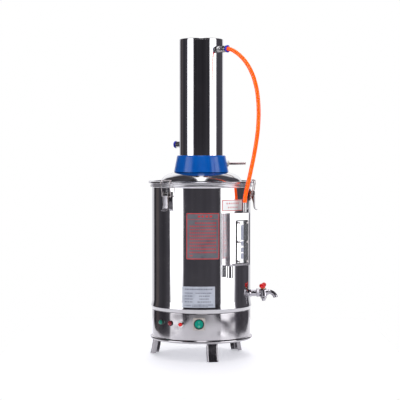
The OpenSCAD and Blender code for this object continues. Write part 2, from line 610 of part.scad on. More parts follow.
boiler_shell();
base_skirt();
base_plate();
legs();
leg_bolts();
heating_elements();
element_nuts();
lid();
lid_gasket();
splash_baffle();
condenser_jacket();
condenser_cap();
condenser_tubes();
tube_plates();
distillate_trough();
drip_cap();
collar();
distillate_nozzle();
nozzle_washer();
inlet_fitting();
outlet_fitting();
inlet_ring();
outlet_ring();
return_hose();
level_box();
level_stub();
overflow_pipe();
sight_window();
window_gasket();
window_screws();
drain_stub();
tap_body();
tap_spout();
tap_plug();
tap_handle();
tap_nut();
latch_brackets();
latch_pins();
lever_left();
lever_right();
lever_rear();
bail_left();
bail_right();
bail_rear();
lamp_bodies();
lamp_nuts();
green_lens();
red_lens();
thermal_cutout();
button_bezel();
reset_button();
switch_plate();
switch_body();
switch_rocker();
contactor();
terminal_block();
wiring_loom();
cable_gland();
front_panels();
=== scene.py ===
import math

import bmesh
import bpy
from mathutils import Matrix, Vector


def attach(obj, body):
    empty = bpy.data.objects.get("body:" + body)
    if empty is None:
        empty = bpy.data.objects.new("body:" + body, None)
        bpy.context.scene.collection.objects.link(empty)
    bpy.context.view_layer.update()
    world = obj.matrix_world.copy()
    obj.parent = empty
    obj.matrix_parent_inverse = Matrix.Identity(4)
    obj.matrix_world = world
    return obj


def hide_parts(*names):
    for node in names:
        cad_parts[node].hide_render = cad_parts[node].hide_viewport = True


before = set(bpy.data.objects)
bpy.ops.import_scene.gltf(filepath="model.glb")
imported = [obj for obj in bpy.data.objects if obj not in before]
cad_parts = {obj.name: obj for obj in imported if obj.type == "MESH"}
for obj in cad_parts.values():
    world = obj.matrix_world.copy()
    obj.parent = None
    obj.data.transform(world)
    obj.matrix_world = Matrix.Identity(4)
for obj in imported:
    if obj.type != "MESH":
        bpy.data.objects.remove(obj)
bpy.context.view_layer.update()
scene = bpy.context.scene
scene.view_settings.view_transform = "Standard"

MM = 0.001
ROOT = "distiller"

# ------------------------------------------------------------------ camera
cam_data = bpy.data.cameras.new("camera")
cam_data.sensor_width = 36.0
cam_data.lens = 1428.0 / 400.0 * 36.0
cam_data.clip_end = 60.0
cam = bpy.data.objects.new("camera", cam_data)
scene.collection.objects.link(cam)
cam.location = (-0.00325, -3.570, 0.5285)
cam.rotation_euler = (math.radians(90.0 - 2.247), 0.0, 0.0)
scene.camera = cam


# ------------------------------------------------------------------ shapes
def bez(p, n):
    out = []
    for i in range(n + 1):
        t = i / n
        w = ((1 - t) ** 3, 3 * (1 - t) ** 2 * t, 3 * (1 - t) * t * t, t**3)
        out.append(tuple(sum(w[j] * p[j][k] for j in range(4)) for k in range(2)))
    return out


def arc(cx, cy, r, a0, a1, n):
    return [
        (
            cx + r * math.cos(math.radians(a0 + (a1 - a0) * i / n)),
            cy + r * math.sin(math.radians(a0 + (a1 - a0) * i / n)),
        )
        for i in range(n + 1)
    ]


def rounded(pts, closed=True, step=12.0, count=None):
    """The line through pts; a point (x, y, r) is a corner rounded with radius r."""
    out, n = [], len(pts)
    for i, p in enumerate(pts):
        r = p[2] if len(p) > 2 else 0.0
        here = Vector(p[:2])
        if r <= 0 or (not closed and i in (0, n - 1)):
            out.append((p[0], p[1]))
            continue
        a = Vector(pts[i - 1][:2]) - here
        b = Vector(pts[(i + 1) % n][:2]) - here
        la, lb = a.length, b.length
        a.normalize()
        b.normalize()
        ang = math.acos(max(-1.0, min(1.0, a.dot(b))))
        if ang > math.pi - 2e-3:
            out.append((p[0], p[1]))
            continue
        d = min(r / math.tan(ang / 2), la * 0.49, lb * 0.49)
        rr = d * math.tan(ang / 2)
        c = here + (a + b).normalized() * (rr / math.sin(ang / 2))
        p0, p1 = here + a * d, here + b * d
        a0 = math.atan2(p0.y - c.y, p0.x - c.x)
        a1 = math.atan2(p1.y - c.y, p1.x - c.x)
        sweep = (a1 - a0 + math.pi) % (2 * math.pi) - math.pi
        k = count or max(2, int(abs(math.degrees(sweep)) / step) + 1)
        for j in range(k + 1):
            t = a0 + sweep * j / k
            out.append((c.x + rr * math.cos(t), c.y + rr * math.sin(t)))
    return out


def dense(pts, step=9.0, edge=0.35, closed=True):
    """Extra points on the long straight runs, so that smooth shading stays true on them."""
    out, n = [], len(pts)
    for i in range(n if closed else n - 1):
        a, b = Vector(pts[i]), Vector(pts[(i + 1) % n])
        out.append(tuple(a))
        length = (b - a).length
        if length < 3 * edge:
            continue
        run = b - a
        k = max(1, int((length - 2 * edge) / step) + 1)
        for j in range(k + 1):
            out.append(tuple(a + run * ((edge + (length - 2 * edge) * j / k) / length)))
    if not closed:
        out.append(tuple(pts[-1]))
    return out


def around(a):
    """Outward and sideways directions at an azimuth, from the front towards the right."""
    a = math.radians(a)
    return Vector((math.sin(a), -math.cos(a), 0)), Vector((math.cos(a), math.sin(a), 0))


def radial(a, z=0.0, r=0.0, tilt=0.0):
    """Local x sideways, y up, z outward, origin at radius r and height z."""
    u, t = around(a)
    c, s = math.cos(math.radians(tilt)), math.sin(math.radians(tilt))
    up = Vector((0, 0, 1))
    m = Matrix((t, up * c - u * s, u * c + up * s)).transposed().to_4x4()
    m.translation = u * r + up * z
    return m


def upright(a):
    """Local x sideways, y towards the axis, z up, origin on the axis."""
    return Matrix.Rotation(math.radians(a), 4, "Z")


def at(x, y, z):
    return Matrix.Translation((x, y, z))


def turn(axis, deg):
    return Matrix.Rotation(math.radians(deg), 4, axis)


class Shape:
    def __init__(self):
        self.v, self.f, self.m = [], [], []

    def put(self, verts, faces, m=None, slot=0):
        o = len(self.v)
        self.v += [m @ Vector(p) if m is not None else Vector(p) for p in verts]
        self.f += [tuple(o + i for i in f) for f in faces]
        self.m += [slot] * len(faces)
        return self

    def lathe(self, prof, m=None, n=96, slot=0, closed=True):
        verts, rings, faces = [], [], []
        for r, h in prof:
            s = len(verts)
            if r < 1e-6:
                verts.append((0, 0, h))
                rings.append([s] * n)
            else:
                verts += [
                    (
                        r * math.cos(2 * math.pi * k / n),
                        r * math.sin(2 * math.pi * k / n),
                        h,
                    )
                    for k in range(n)
                ]
                rings.append(list(range(s, s + n)))
        pairs = list(zip(rings, rings[1:]))
        if closed:
            pairs.append((rings[-1], rings[0]))
        for a, b in pairs:
            for k in range(n):
                q = [a[k], a[(k + 1) % n], b[(k + 1) % n], b[k]]
                q = [x for i, x in enumerate(q) if x != q[i - 1]]
                if len(set(q)) >= 3:
                    faces.append(q)
        return self.put(verts, faces, m, slot)

    def slab(self, outline, h0, h1, r0=0.0, r1=0.0, m=None, slot=0, keep=None, k=4):
        """An outline drawn up from h0 to h1 with rounded lower and upper edges. keep holds the points that stay put as the edge rounds in."""
        n = len(outline)
        area = sum(
            outline[i - 1][0] * outline[i][1] - outline[i][0] * outline[i - 1][1]
            for i in range(n)
        )
        sign = 1.0 if area > 0 else -1.0
        norm = []
        for i in range(n):
            a, b, c = (Vector(outline[j % n]) for j in (i - 1, i, i + 1))
            d0 = (b - a).normalized() if (b - a).length > 1e-9 else (c - b).normalized()
            d1 = (c - b).normalized() if (c - b).length > 1e-9 else d0
            n0 = Vector((d0.y, -d0.x)) * sign
            n1 = Vector((d1.y, -d1.x)) * sign
            s = n0 + n1
            s = s / max(0.35, s.dot(n0)) if s.length > 1e-6 else n0
            norm.append(Vector((0, 0)) if keep and i in keep else s)
        if r0 > 0:
            levels = [(h0 + r0 * (1 - math.cos(math.pi / 2 * j / k)), r0 * (1 - math.sin(math.pi / 2 * j / k))) for j in range(k + 1)]
        else:
            levels = [(h0, 0.0)]
        b0, b1 = h0 + r0 + 0.35, h1 - r1 - 0.35
        if b1 - b0 > 0.5:
            rows = max(1, int((b1 - b0) / 8.0))
            levels += [(b0 + (b1 - b0) * j / rows, 0.0) for j in range(rows + 1)]
        if r1 > 0:
            levels += [(h1 - r1 * (1 - math.sin(math.pi / 2 * j / k)), r1 * (1 - math.cos(math.pi / 2 * j / k))) for j in range(k + 1)]
        else:
            levels.append((h1, 0.0))
        verts, faces = [], []
        for h, inset in levels:
            verts += [
                (p[0] - q.x * inset, p[1] - q.y * inset, h)
                for p, q in zip(outline, norm)
            ]
        for j in range(len(levels) - 1):
            for i in range(n):
                faces.append(
                    (j * n + i, j * n + (i + 1) % n, (j + 1) * n + (i + 1) % n, (j + 1) * n + i)
                )
        faces.append(tuple(range(n))[::-1])
        faces.append(tuple((len(levels) - 1) * n + i for i in range(n)))
        return self.put(verts, faces, m, slot)

    def tube(self, path, r, n=20, m=None, slot=0, inner=None):
        """A round wire or pipe along path; with inner it is hollow and open at both ends."""
        pts = [Vector(p) for p in path]
        d = []
        for i in range(len(pts)):
            a, b = pts[max(i - 1, 0)], pts[min(i + 1, len(pts) - 1)]
            d.append((b - a).normalized())
        side = d[0].orthogonal().normalized()
        rings_o, rings_i = [], []
        verts, faces = [], []
        for i, p in enumerate(pts):
            if i:
                side = side - d[i] * side.dot(d[i])
                side.normalize()
            other = d[i].cross(side)
            for rad, keep in ((r, rings_o), (inner, rings_i)):
                if rad is None:
                    continue
                rr = rad[i] if isinstance(rad, (list, tuple)) else rad
                s = len(verts)
                verts += [
                    tuple(p + (side * math.cos(2 * math.pi * k / n) + other * math.sin(2 * math.pi * k / n)) * rr)
                    for k in range(n)
                ]
                keep.append(list(range(s, s + n)))
        for rings in (rings_o, rings_i):
            for a, b in zip(rings, rings[1:]):
                for k in range(n):
                    faces.append((a[k], a[(k + 1) % n], b[(k + 1) % n], b[k]))
        if rings_i:
            for a, b in ((rings_o[0], rings_i[0]), (rings_o[-1], rings_i[-1])):
                for k in range(n):
                    faces.append((a[k], a[(k + 1) % n], b[(k + 1) % n], b[k]))
        else:
            faces.append(tuple(rings_o[0]))
            faces.append(tuple(rings_o[-1]))
        return self.put(verts, faces, m, slot)

    def channel(self, path, width, depth, rc, th, m=None, slot=0):
        """A folded channel along path [(outward, up)], its web outside and its flanges reaching inward by depth[i]."""
        n = len(path)
        loops = []
        for i, p in enumerate(path):
            a, b = Vector(path[max(i - 1, 0)]), Vector(path[min(i + 1, n - 1)])
            d = (b - a).normalized()
            inward = Vector((d.y, -d.x))
            if inward.x > 0:
                inward = -inward
            w, dep = width / 2, depth[i]
            outer = rounded([(-w, dep), (-w, 0, rc), (w, 0, rc), (w, dep)], closed=False, count=7)
            ri = max(rc - th, 0.2)
            inner = rounded(
                [(w - th, dep), (w - th, th, ri), (-w + th, th, ri), (-w + th, dep)],
                closed=False,
                count=7,
            )
            loops.append([(x, Vector(p) + inward * y) for x, y in outer + inner])
        k = len(loops[0])
        verts = [(x, -q.x, q.y) for loop in loops for x, q in loop]
        faces = [
            (i * k + j, i * k + (j + 1) % k, (i + 1) * k + (j + 1) % k, (i + 1) * k + j)
            for i in range(n - 1)
            for j in range(k)
        ]
        half = k // 2
        for base in (0, (n - 1) * k):
            for j in range(half - 1):
                faces.append((base + j, base + j + 1, base + k - 2 - j, base + k - 1 - j))
        return self.put(verts, faces, m, slot)


def piece(name, shape, mats, body=ROOT, nodes=(), sharp=34.0, floor_cut=False):
    me = bpy.data.meshes.new(name)
    me.from_pydata([tuple(p * MM) for p in shape.v], [], shape.f)
    for mat in mats if isinstance(mats, (list, tuple)) else [mats]:
        me.materials.append(mat)
    me.polygons.foreach_set("material_index", shape.m)
    bm = bmesh.new()
    bm.from_mesh(me)
    bmesh.ops.remove_doubles(bm, verts=bm.verts, dist=2e-7)
    if floor_cut:
        got = bmesh.ops.bisect_plane(
            bm,
            geom=bm.verts[:] + bm.edges[:] + bm.faces[:],
            plane_co=(0, 0, 0),
            plane_no=(0, 0, 1),
            clear_inner=True,
        )
        edges = [e for e in got["geom_cut"] if isinstance(e, bmesh.types.BMEdge)]
        bmesh.ops.holes_fill(bm, edges=edges, sides=0)
    bmesh.ops.recalc_face_normals(bm, faces=bm.faces)
    bm.to_mesh(me)
    bm.free()
    me.shade_smooth()
    me.set_sharp_from_angle(angle=math.radians(sharp))
    ob = bpy.data.objects.new(name, me)
    scene.collection.objects.link(ob)
    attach(ob, body)
    if nodes:
        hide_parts(*nodes)
    return ob


def cut_by(ob, *shapes):
    """The piece with the given shapes taken out of it."""
    for i, s in enumerate(shapes):
        me = bpy.data.meshes.new("cutter")
        me.from_pydata([tuple(p * MM) for p in s.v], [], s.f)
        bm = bmesh.new()
        bm.from_mesh(me)
        bmesh.ops.recalc_face_normals(bm, faces=bm.faces)
        bm.to_mesh(me)
        bm.free()
        cutter = bpy.data.objects.new("cutter", me)
        scene.collection.objects.link(cutter)
        mod = ob.modifiers.new("cut", "BOOLEAN")
        mod.operation = "DIFFERENCE"
        mod.solver = "EXACT"
        mod.object = cutter
        bpy.context.view_layer.update()
        got = bpy.data.meshes.new_from_object(ob.evaluated_get(bpy.context.evaluated_depsgraph_get()))
        ob.modifiers.remove(mod)
        old = ob.data
        ob.data = got
        bpy.data.meshes.remove(old)
        bpy.data.objects.remove(cutter)
        bpy.data.meshes.remove(me)
    ob.data.name = ob.name
    return ob


# ------------------------------------------------------------------ materials
def shader(name):
    mat = bpy.data.materials.new(name)
    mat.use_nodes = True
    nt = mat.node_tree
    nt.nodes.clear()
    out = nt.nodes.new("ShaderNodeOutputMaterial")
    b = nt.nodes.new("ShaderNodeBsdfPrincipled")
    nt.links.new(b.outputs["BSDF"], out.inputs["Surface"])
    tc = nt.nodes.new("ShaderNodeTexCoord")
    return mat, nt, b, tc.outputs["Object"]


def noise(nt, vec, scale, detail=3.0, rough=0.5, stretch=None, distort=0.0):
    if stretch:
        mp = nt.nodes.new("ShaderNodeMapping")
        mp.inputs["Scale"].default_value = stretch
        nt.links.new(vec, mp.inputs["Vector"])
        vec = mp.outputs["Vector"]
    t = nt.nodes.new("ShaderNodeTexNoise")
    t.inputs["Scale"].default_value = scale
    t.inputs["Detail"].default_value = detail
    t.inputs["Roughness"].default_value = rough
    t.inputs["Distortion"].default_value = distort
    nt.links.new(vec, t.inputs["Vector"])
    return t.outputs[0]


def span(nt, fac, lo, hi, a=0.3, b=0.7):
    m = nt.nodes.new("ShaderNodeMapRange")
    m.inputs["From Min"].default_value = a
    m.inputs["From Max"].default_value = b
    m.inputs["To Min"].default_value = lo
    m.inputs["To Max"].default_value = hi
    nt.links.new(fac, m.inputs["Value"])
    return m.outputs["Result"]


def total(nt, *socks):
    s = socks[0]
    for other in socks[1:]:
        m = nt.nodes.new("ShaderNodeMath")
        m.operation = "ADD"
        nt.links.new(s, m.inputs[0])
        nt.links.new(other, m.inputs[1])
        s = m.outputs[0]
    return s


def shade(nt, fac, c0, c1, a=0.3, b=0.7):
    m = nt.nodes.new("ShaderNodeMix")
    m.data_type = "RGBA"
    nt.links.new(span(nt, fac, 0.0, 1.0, a, b), m.inputs["Factor"])
    m.inputs["A"].default_value = (*c0, 1.0)
    m.inputs["B"].default_value = (*c1, 1.0)
    for k in m.inputs:
        if k.type == "RGBA" and k.name == "A":
            k.default_value = (*c0, 1.0)
        if k.type == "RGBA" and k.name == "B":
            k.default_value = (*c1, 1.0)
    return [o for o in m.outputs if o.type == "RGBA"][0]


def bumps(nt, b, *layers):
    """Layers of (height, strength, distance in metres), the broadest first."""
    last = None
    for height, strength, distance in layers:
        n = nt.nodes.new("ShaderNodeBump")
        n.inputs["Strength"].default_value = strength
        n.inputs["Distance"].default_value = distance
        nt.links.new(height, n.inputs["Height"])
        if last is not None:
            nt.links.new(last, n.inputs["Normal"])
        last = n.outputs["Normal"]
    nt.links.new(last, b.inputs["Normal"])


def metal(name, c0, c1, r0, r1, wave=0.0005, wave_scale=9.0, lines=(1.0, 1.0, 0.02), line_scale=420.0, line_bump=0.02):
    mat, nt, b, vec = shader(name)
    b.inputs["Metallic"].default_value = 1.0
    smudge = noise(nt, vec, 16.0, 4.0, 0.6, distort=0.4)
    fine = noise(nt, vec, line_scale, 3.0, 0.6, stretch=lines)
    speck = noise(nt, vec, 160.0, 2.0, 0.5)
    nt.links.new(shade(nt, smudge, c0, c1), b.inputs["Base Color"])
    nt.links.new(
        total(
            nt,
            span(nt, smudge, r0, r1),
            span(nt, fine, -0.012, 0.02),
            span(nt, speck, 0.0, 0.015, 0.55, 0.75),
        ),
        b.inputs["Roughness"],
    )
    bumps(
        nt,
        b,
        (noise(nt, vec, wave_scale, 1.0, 0.4), 1.0, wave),
        (fine, line_bump, 0.0002),
    )
    return mat


def plastic(name, c0, c1, r0, r1, grain=900.0, grain_bump=0.06, coat=0.0, ior=1.5, sss=0.0, sss_radius=(1.0, 0.3, 0.1), painted_glow=None):
    mat, nt, b, vec = shader(name)
    cloud = noise(nt, vec, 45.0, 4.0, 0.6)
    skin = noise(nt, vec, grain, 3.0, 0.6)
    nt.links.new(shade(nt, cloud, c0, c1), b.inputs["Base Color"])
    nt.links.new(total(nt, span(nt, cloud, r0, r1), span(nt, skin, -0.02, 0.03)), b.inputs["Roughness"])
    b.inputs["IOR"].default_value = ior
    b.inputs["Coat Weight"].default_value = coat
    b.inputs["Coat Roughness"].default_value = 0.06
    # an optional emission colour and strength: a painted glow that lights the part from within
    if painted_glow:
        b.inputs["Emission Color"].default_value = (*painted_glow[:3], 1.0)
        b.inputs["Emission Strength"].default_value = painted_glow[3]
    if sss:
        b.inputs["Subsurface Weight"].default_value = sss
        b.inputs["Subsurface Radius"].default_value = sss_radius
        b.inputs["Subsurface Scale"].default_value = 0.004
    bumps(nt, b, (skin, grain_bump, 0.0002))
    return mat


def clear(name, tint, see0, see1, rough0, rough1):
    mat, nt, b, vec = shader(name)
    cloud = noise(nt, vec, 120.0, 3.0, 0.6)
    nt.links.new(shade(nt, cloud, tint, tuple(min(1.0, x * 1.04) for x in tint)), b.inputs["Base Color"])
    nt.links.new(span(nt, cloud, rough0, rough1), b.inputs["Roughness"])
    nt.links.new(span(nt, cloud, see0, see1), b.inputs["Alpha"])
    bumps(nt, b, (noise(nt, vec, 60.0, 2.0), 0.02, 0.0002))
    return mat


STEEL = metal("polished_steel", (0.56, 0.56, 0.575), (0.64, 0.635, 0.635), 0.045, 0.085)
STEEL_SKIRT = metal("skirt_steel", (0.45, 0.435, 0.455), (0.52, 0.505, 0.52), 0.07, 0.12, wave=0.0013, wave_scale=18.0)
STEEL_SEAM = metal("seam_steel", (0.52, 0.51, 0.53), (0.59, 0.58, 0.595), 0.08, 0.13, wave=0.0006, wave_scale=16.0)
STEEL_JACKET = metal("jacket_steel", (0.56, 0.56, 0.575), (0.64, 0.635, 0.635), 0.05, 0.09, wave=0.0006, wave_scale=7.0)
STEEL_BOX = metal("box_steel", (0.58, 0.57, 0.58), (0.66, 0.65, 0.65), 0.06, 0.11, wave=0.00028, wave_scale=24.0)
SATIN = metal("satin_steel", (0.50, 0.50, 0.52), (0.58, 0.575, 0.575), 0.14, 0.24, wave=0.0004, wave_scale=30.0)
ZINC = metal("zinc_steel", (0.50, 0.49, 0.47), (0.60, 0.58, 0.55), 0.22, 0.34, wave=0.0001, wave_scale=80.0)
SHEATH = metal("element_sheath", (0.20, 0.19, 0.19), (0.30, 0.28, 0.27), 0.35, 0.55, wave=0.0001, wave_scale=80.0)
BRASS = metal("brass", (0.68, 0.50, 0.22), (0.80, 0.62, 0.30), 0.16, 0.30, wave=0.0001, wave_scale=80.0)
WIRE = metal("latch_wire", (0.80, 0.74, 0.74), (0.88, 0.83, 0.83), 0.34, 0.44, wave=0.0001, wave_scale=80.0)
LEVER = metal("latch_steel", (0.66, 0.65, 0.69), (0.76, 0.74, 0.77), 0.28, 0.38, wave=0.0004, wave_scale=60.0)
LID = metal("lid_steel", (0.56, 0.56, 0.575), (0.64, 0.635, 0.635), 0.10, 0.14)
# the legs' steel is darkened: painted shade standing for the shaded floor they reflect
LEG_PAINTED_SHADE = metal("leg_steel", (0.28, 0.27, 0.29), (0.39, 0.375, 0.39), 0.13, 0.22, wave=0.0004, wave_scale=30.0)
PLATED = metal("tap_plating", (0.40, 0.385, 0.42), (0.50, 0.48, 0.51), 0.06, 0.14, wave=0.0002, wave_scale=60.0)
RIM = metal("rim_steel", (0.56, 0.55, 0.585), (0.63, 0.62, 0.65), 0.15, 0.21, wave=0.00006, wave_scale=30.0)
# the flange bead's steel: a pale lavender copy, a painted reflection of the floor below it
BEAD_PAINTED_REFLECTION = metal("flange_steel", (0.84, 0.83, 0.87), (0.92, 0.91, 0.94), 0.30, 0.38, wave=0.00006, wave_scale=30.0)
SCREW = metal("screw_steel", (0.40, 0.36, 0.36), (0.50, 0.46, 0.46), 0.22, 0.34, wave=0.0001, wave_scale=80.0)
# a dark brown copy of the latch steel for the levers' sides: painted shade
LEVER_SIDE_PAINTED_SHADE = metal("latch_flange_steel", (0.27, 0.23, 0.22), (0.37, 0.32, 0.31), 0.15, 0.25, wave=0.0004, wave_scale=60.0)
# paler copies of the box steel for its flanks and for its bevels and foot: painted sheen
BOX_SIDE_PAINTED_SHEEN = metal("box_side_steel", (0.91, 0.88, 0.92), (0.96, 0.93, 0.96), 0.13, 0.19, wave=0.0014, wave_scale=20.0)
BOX_EDGE_PAINTED_SHEEN = metal("box_edge_steel", (0.80, 0.78, 0.82), (0.88, 0.86, 0.89), 0.26, 0.36, wave=0.0004, wave_scale=30.0)
NOZZLE = metal("nozzle_steel", (0.60, 0.54, 0.55), (0.70, 0.64, 0.65), 0.32, 0.42, wave=0.0001, wave_scale=80.0)
CHROME = metal("chromed_brass", (0.66, 0.66, 0.67), (0.74, 0.735, 0.73), 0.05, 0.11, wave=0.0002, wave_scale=60.0)
BLUE = plastic("blue_collar", (0.0, 0.116, 0.54), (0.001, 0.136, 0.61), 0.14, 0.22, grain=420.0, grain_bump=0.03, coat=0.0, ior=1.5)
RING = plastic("blue_ring", (0.035, 0.045, 0.62), (0.05, 0.06, 0.74), 0.18, 0.28, coat=0.3)
# the orange hose gets a painted glow (emission), standing for light shining through it
HOSE = plastic("orange_hose", (1.0, 0.12, 0.002), (1.0, 0.15, 0.004), 0.2, 0.3, grain=300.0, grain_bump=0.03, coat=0.2, sss=0.6, sss_radius=(1.0, 0.25, 0.05), painted_glow=(1.0, 0.10, 0.003, 0.55))
WASHER = plastic("pale_washer", (0.70, 0.66, 0.56), (0.80, 0.76, 0.67), 0.35, 0.5)
SILICONE = plastic("silicone", (0.72, 0.70, 0.68), (0.82, 0.80, 0.78), 0.4, 0.55, sss=0.2, sss_radius=(1.0, 0.9, 0.8))
RUBBER = plastic("black_rubber", (0.014, 0.013, 0.014), (0.03, 0.028, 0.03), 0.4, 0.6, grain=700.0)
RED = plastic("red_plastic", (0.72, 0.006, 0.008), (0.80, 0.012, 0.014), 0.25, 0.35, coat=0.1, ior=1.4, sss=0.1, sss_radius=(1.0, 0.1, 0.1))
GREEN = plastic("green_plastic", (0.0, 0.22, 0.16), (0.001, 0.28, 0.20), 0.42, 0.52, coat=0.0, ior=1.28)
BEIGE = plastic("beige_plastic", (0.39, 0.36, 0.335), (0.46, 0.425, 0.39), 0.32, 0.45, ior=1.4)
BLACK = plastic("black_plastic", (0.012, 0.012, 0.014), (0.03, 0.03, 0.032), 0.3, 0.45)
WHITE_MARK = plastic("mark_ink", (0.22, 0.58, 0.42), (0.30, 0.64, 0.48), 0.35, 0.5)
STRIP_DARK = plastic("level_strip_dark", (0.03, 0.03, 0.034), (0.07, 0.068, 0.075), 0.3, 0.4)
GREEN_LENS = plastic("green_lens", (0.0, 0.17, 0.115), (0.004, 0.25, 0.17), 0.06, 0.12, coat=0.6, sss=0.3, sss_radius=(0.1, 1.0, 0.7))
RED_LENS = plastic("red_lens", (0.20, 0.004, 0.012), (0.32, 0.008, 0.022), 0.06, 0.12, coat=0.6, sss=0.3, sss_radius=(1.0, 0.1, 0.1))
CLEAR = clear("clear_plate", (0.55, 0.58, 0.62), 0.05, 0.09, 0.03, 0.08)
STRIP = plastic("level_strip", (0.42, 0.44, 0.56), (0.50, 0.52, 0.64), 0.35, 0.5)
FILM_GREY = plastic("film_grey", (0.130, 0.134, 0.158), (0.178, 0.182, 0.206), 0.25, 0.38, grain=1500.0, coat=0.25)
FILM_RED = plastic("film_red", (0.60, 0.030, 0.036), (0.72, 0.050, 0.055), 0.3, 0.42, grain=1500.0, coat=0.2)
FILM_PALE = plastic("film_pale", (0.455, 0.485, 0.56), (0.53, 0.56, 0.635), 0.22, 0.34, grain=1500.0, coat=0.25)
FILM_WHITE = plastic("film_white", (0.90, 0.90, 0.92), (0.95, 0.95, 0.96), 0.10, 0.16, grain=1500.0, coat=1.0, ior=1.75)
FILM_INK = plastic("film_ink", (0.105, 0.11, 0.16), (0.155, 0.16, 0.21), 0.35, 0.5, grain=1500.0)

# ------------------------------------------------------------------ hose, built first of the pieces
HOSE_AZ = 50.0
VIA = [
    (62, 762), (72, 762), (81.5, 762), (87.8, 761.55), (94, 760.2), (100, 758), (107, 754.3),
    (116, 748.8), (125.2, 742.2), (134.6, 734), (144, 723.8), (153.4, 711.2), (164.6, 690.6),
    (174.2, 662.4), (179, 633.4), (180.6, 604.4), (179.4, 575.5), (175.9, 546.5), (167.1, 503),
    (155.8, 459.2), (146.2, 425), (142, 410), (139.4, 398), (138.5, 386),
]


def catmull(pts, k):
    out = []
    for i in range(len(pts) - 1):
        a, b = Vector(pts[max(i - 1, 0)]), Vector(pts[i])
        c, d = Vector(pts[i + 1]), Vector(pts[min(i + 2, len(pts) - 1)])
        for j in range(k):
            t = j / k
            out.append(
                0.5 * (2 * b + (c - a) * t + (2 * a - 5 * b + 4 * c - d) * t * t + (3 * b - a - 3 * c + d) * t**3)
            )
    out.append(Vector(pts[-1]))
    return out


hose_u, hose_t = around(HOSE_AZ)
hose_line = [q for q in catmull(VIA, 8) if q.x >= 76.0 or q.y < 740]
hose_path = [hose_u * q.x + Vector((0, 0, q.y)) for q in hose_line]
s = Shape().tube(hose_path, 4.98, n=32, inner=3.3)
hose = piece("hose", s, HOSE, nodes=["return_hose"], sharp=50)

# ------------------------------------------------------------------ boiler and skirt
prof = rounded(
    [
        (0, 121), (121.8, 121, 1.0), (121.8, 117), (122.9, 117, 0.5),
        (122.9, 118, 1.0), (125.4, 126.5, 7.0), (123.0, 139.5, 26.0),
        (123.0, 421.4),
    ],
    closed=False,
    step=7,
)
prof += arc(123.9, 424.6, 3.4, -104, 84, 18)
prof += [(124.2, 428.8), (124.6, 429.0), (124.6, 429.8), (124.3, 430.0), (121.8, 430.0), (121.8, 122.2), (0, 122.2)]
s = Shape().lathe(dense(prof, closed=False), n=224, closed=False)
shell = piece("boiler", s, [STEEL, BEAD_PAINTED_REFLECTION, STEEL_SEAM], nodes=["boiler_shell"])
# faces above the wall take the pale copy, a painted reflection on the flange bead; faces at the seam take the seam
# steel
for face in shell.data.polygons:
    face.material_index = 1 if face.center.z > 421.5 * MM else 2 if face.center.z < 132 * MM else 0

prof = rounded(
    [(112, 117), (123, 117, 1.6), (123, 51.4, 1.8), (124.2, 51.4, 0.2)], closed=False, step=9
)
prof += arc(123.5, 47.5, 4.2, 76, -90, 14)
prof += rounded(
    [(121.8, 43.3), (121.8, 46.2), (112, 46.2), (112, 47.4), (121.8, 47.4), (121.8, 115.8), (112, 115.8)],
    closed=False,
)
s = Shape().lathe(dense(prof), n=224)
skirt = piece("skirt", s, STEEL_SKIRT, nodes=["base_skirt"])

# ------------------------------------------------------------------ legs
leg_line = bez([(122.8, 42.7), (123.6, 41.4), (124.1, 39.4), (124.5, 37)], 5)
leg_line += bez([(124.5, 37), (126.4, 26), (127.6, 12), (133.3, -3)], 24)[1:]
s = Shape()
for i in range(3):
    m = upright(12.8 + 120 * i)
    s.channel(leg_line, 27.0, [14.5] * len(leg_line), 4.6, 1.6, m)
    tab = rounded([(-13.5, -119), (13.5, -119), (13.5, -98, 4), (-13.5, -98, 4)])
    s.slab(tab, 43.2, 45.0, 0.3, 0.3, m)
    s.slab([(-13, -122.6), (13, -122.6), (13, -111), (-13, -111)], 41.7, 43.25, 0.2, 0.2, m)
# the legs take the darkened steel: painted shade
piece("leg_set", s, LEG_PAINTED_SHADE, nodes=["legs"], floor_cut=True)

# ------------------------------------------------------------------ lid
dome = bez([(51, 459.8), (84, 457.5), (99.5, 447), (101, 434.3)], 40)
prof = rounded([(49.9, 467), (51.1, 467, 0.4), (51.1, 460.2, 0.6)] + dome[1:-2], closed=False)
prof += arc(103.6, 436.9, 2.6, 186, 270, 7)
prof += arc(128.7, 433.8, 3.2, 171, -167, 26)
prof += [(99.9, 433.1)]
prof += [(r - 1.1, z - 1.2) for r, z in dome[::-1][1:]]
s = Shape().lathe(dense(prof), n=224)
cover = piece("lid_cover", s, [LID, RIM], nodes=["lid"])
for face in cover.data.polygons:
    face.material_index = 1 if face.center.xy.length > 122 * MM else 0

# ------------------------------------------------------------------ condenser
prof = rounded([(53.3, 460.5), (54.5, 460.5), (54.5, 785.4, 0.3), (53.3, 785.4)])
s = Shape().lathe(dense(prof, step=7.0), n=160)
piece("jacket", s, STEEL_JACKET, nodes=["condenser_jacket"])
prof = rounded([(0, 785.5), (54.5, 785.5, 0.3), (54.5, 789.2, 3.2), (40, 789.5, 10), (0, 789.5)], closed=False, step=7)
s = Shape().lathe(dense(prof, closed=False), n=160, closed=False)
piece("jacket_cap", s, STEEL_JACKET, nodes=["condenser_cap"])

prof = rounded(
    [
        (66.1, 458.4, 0.3), (68.4, 458.4, 0.9), (60.18, 500.2, 4.8),
        (54.9, 500.2, 0.4), (54.9, 497.4), (58, 494),
    ],
    step=8,
)
s = Shape().lathe(dense(prof, step=5.0), n=160)
piece("collar_cone", s, BLUE, nodes=["collar"])

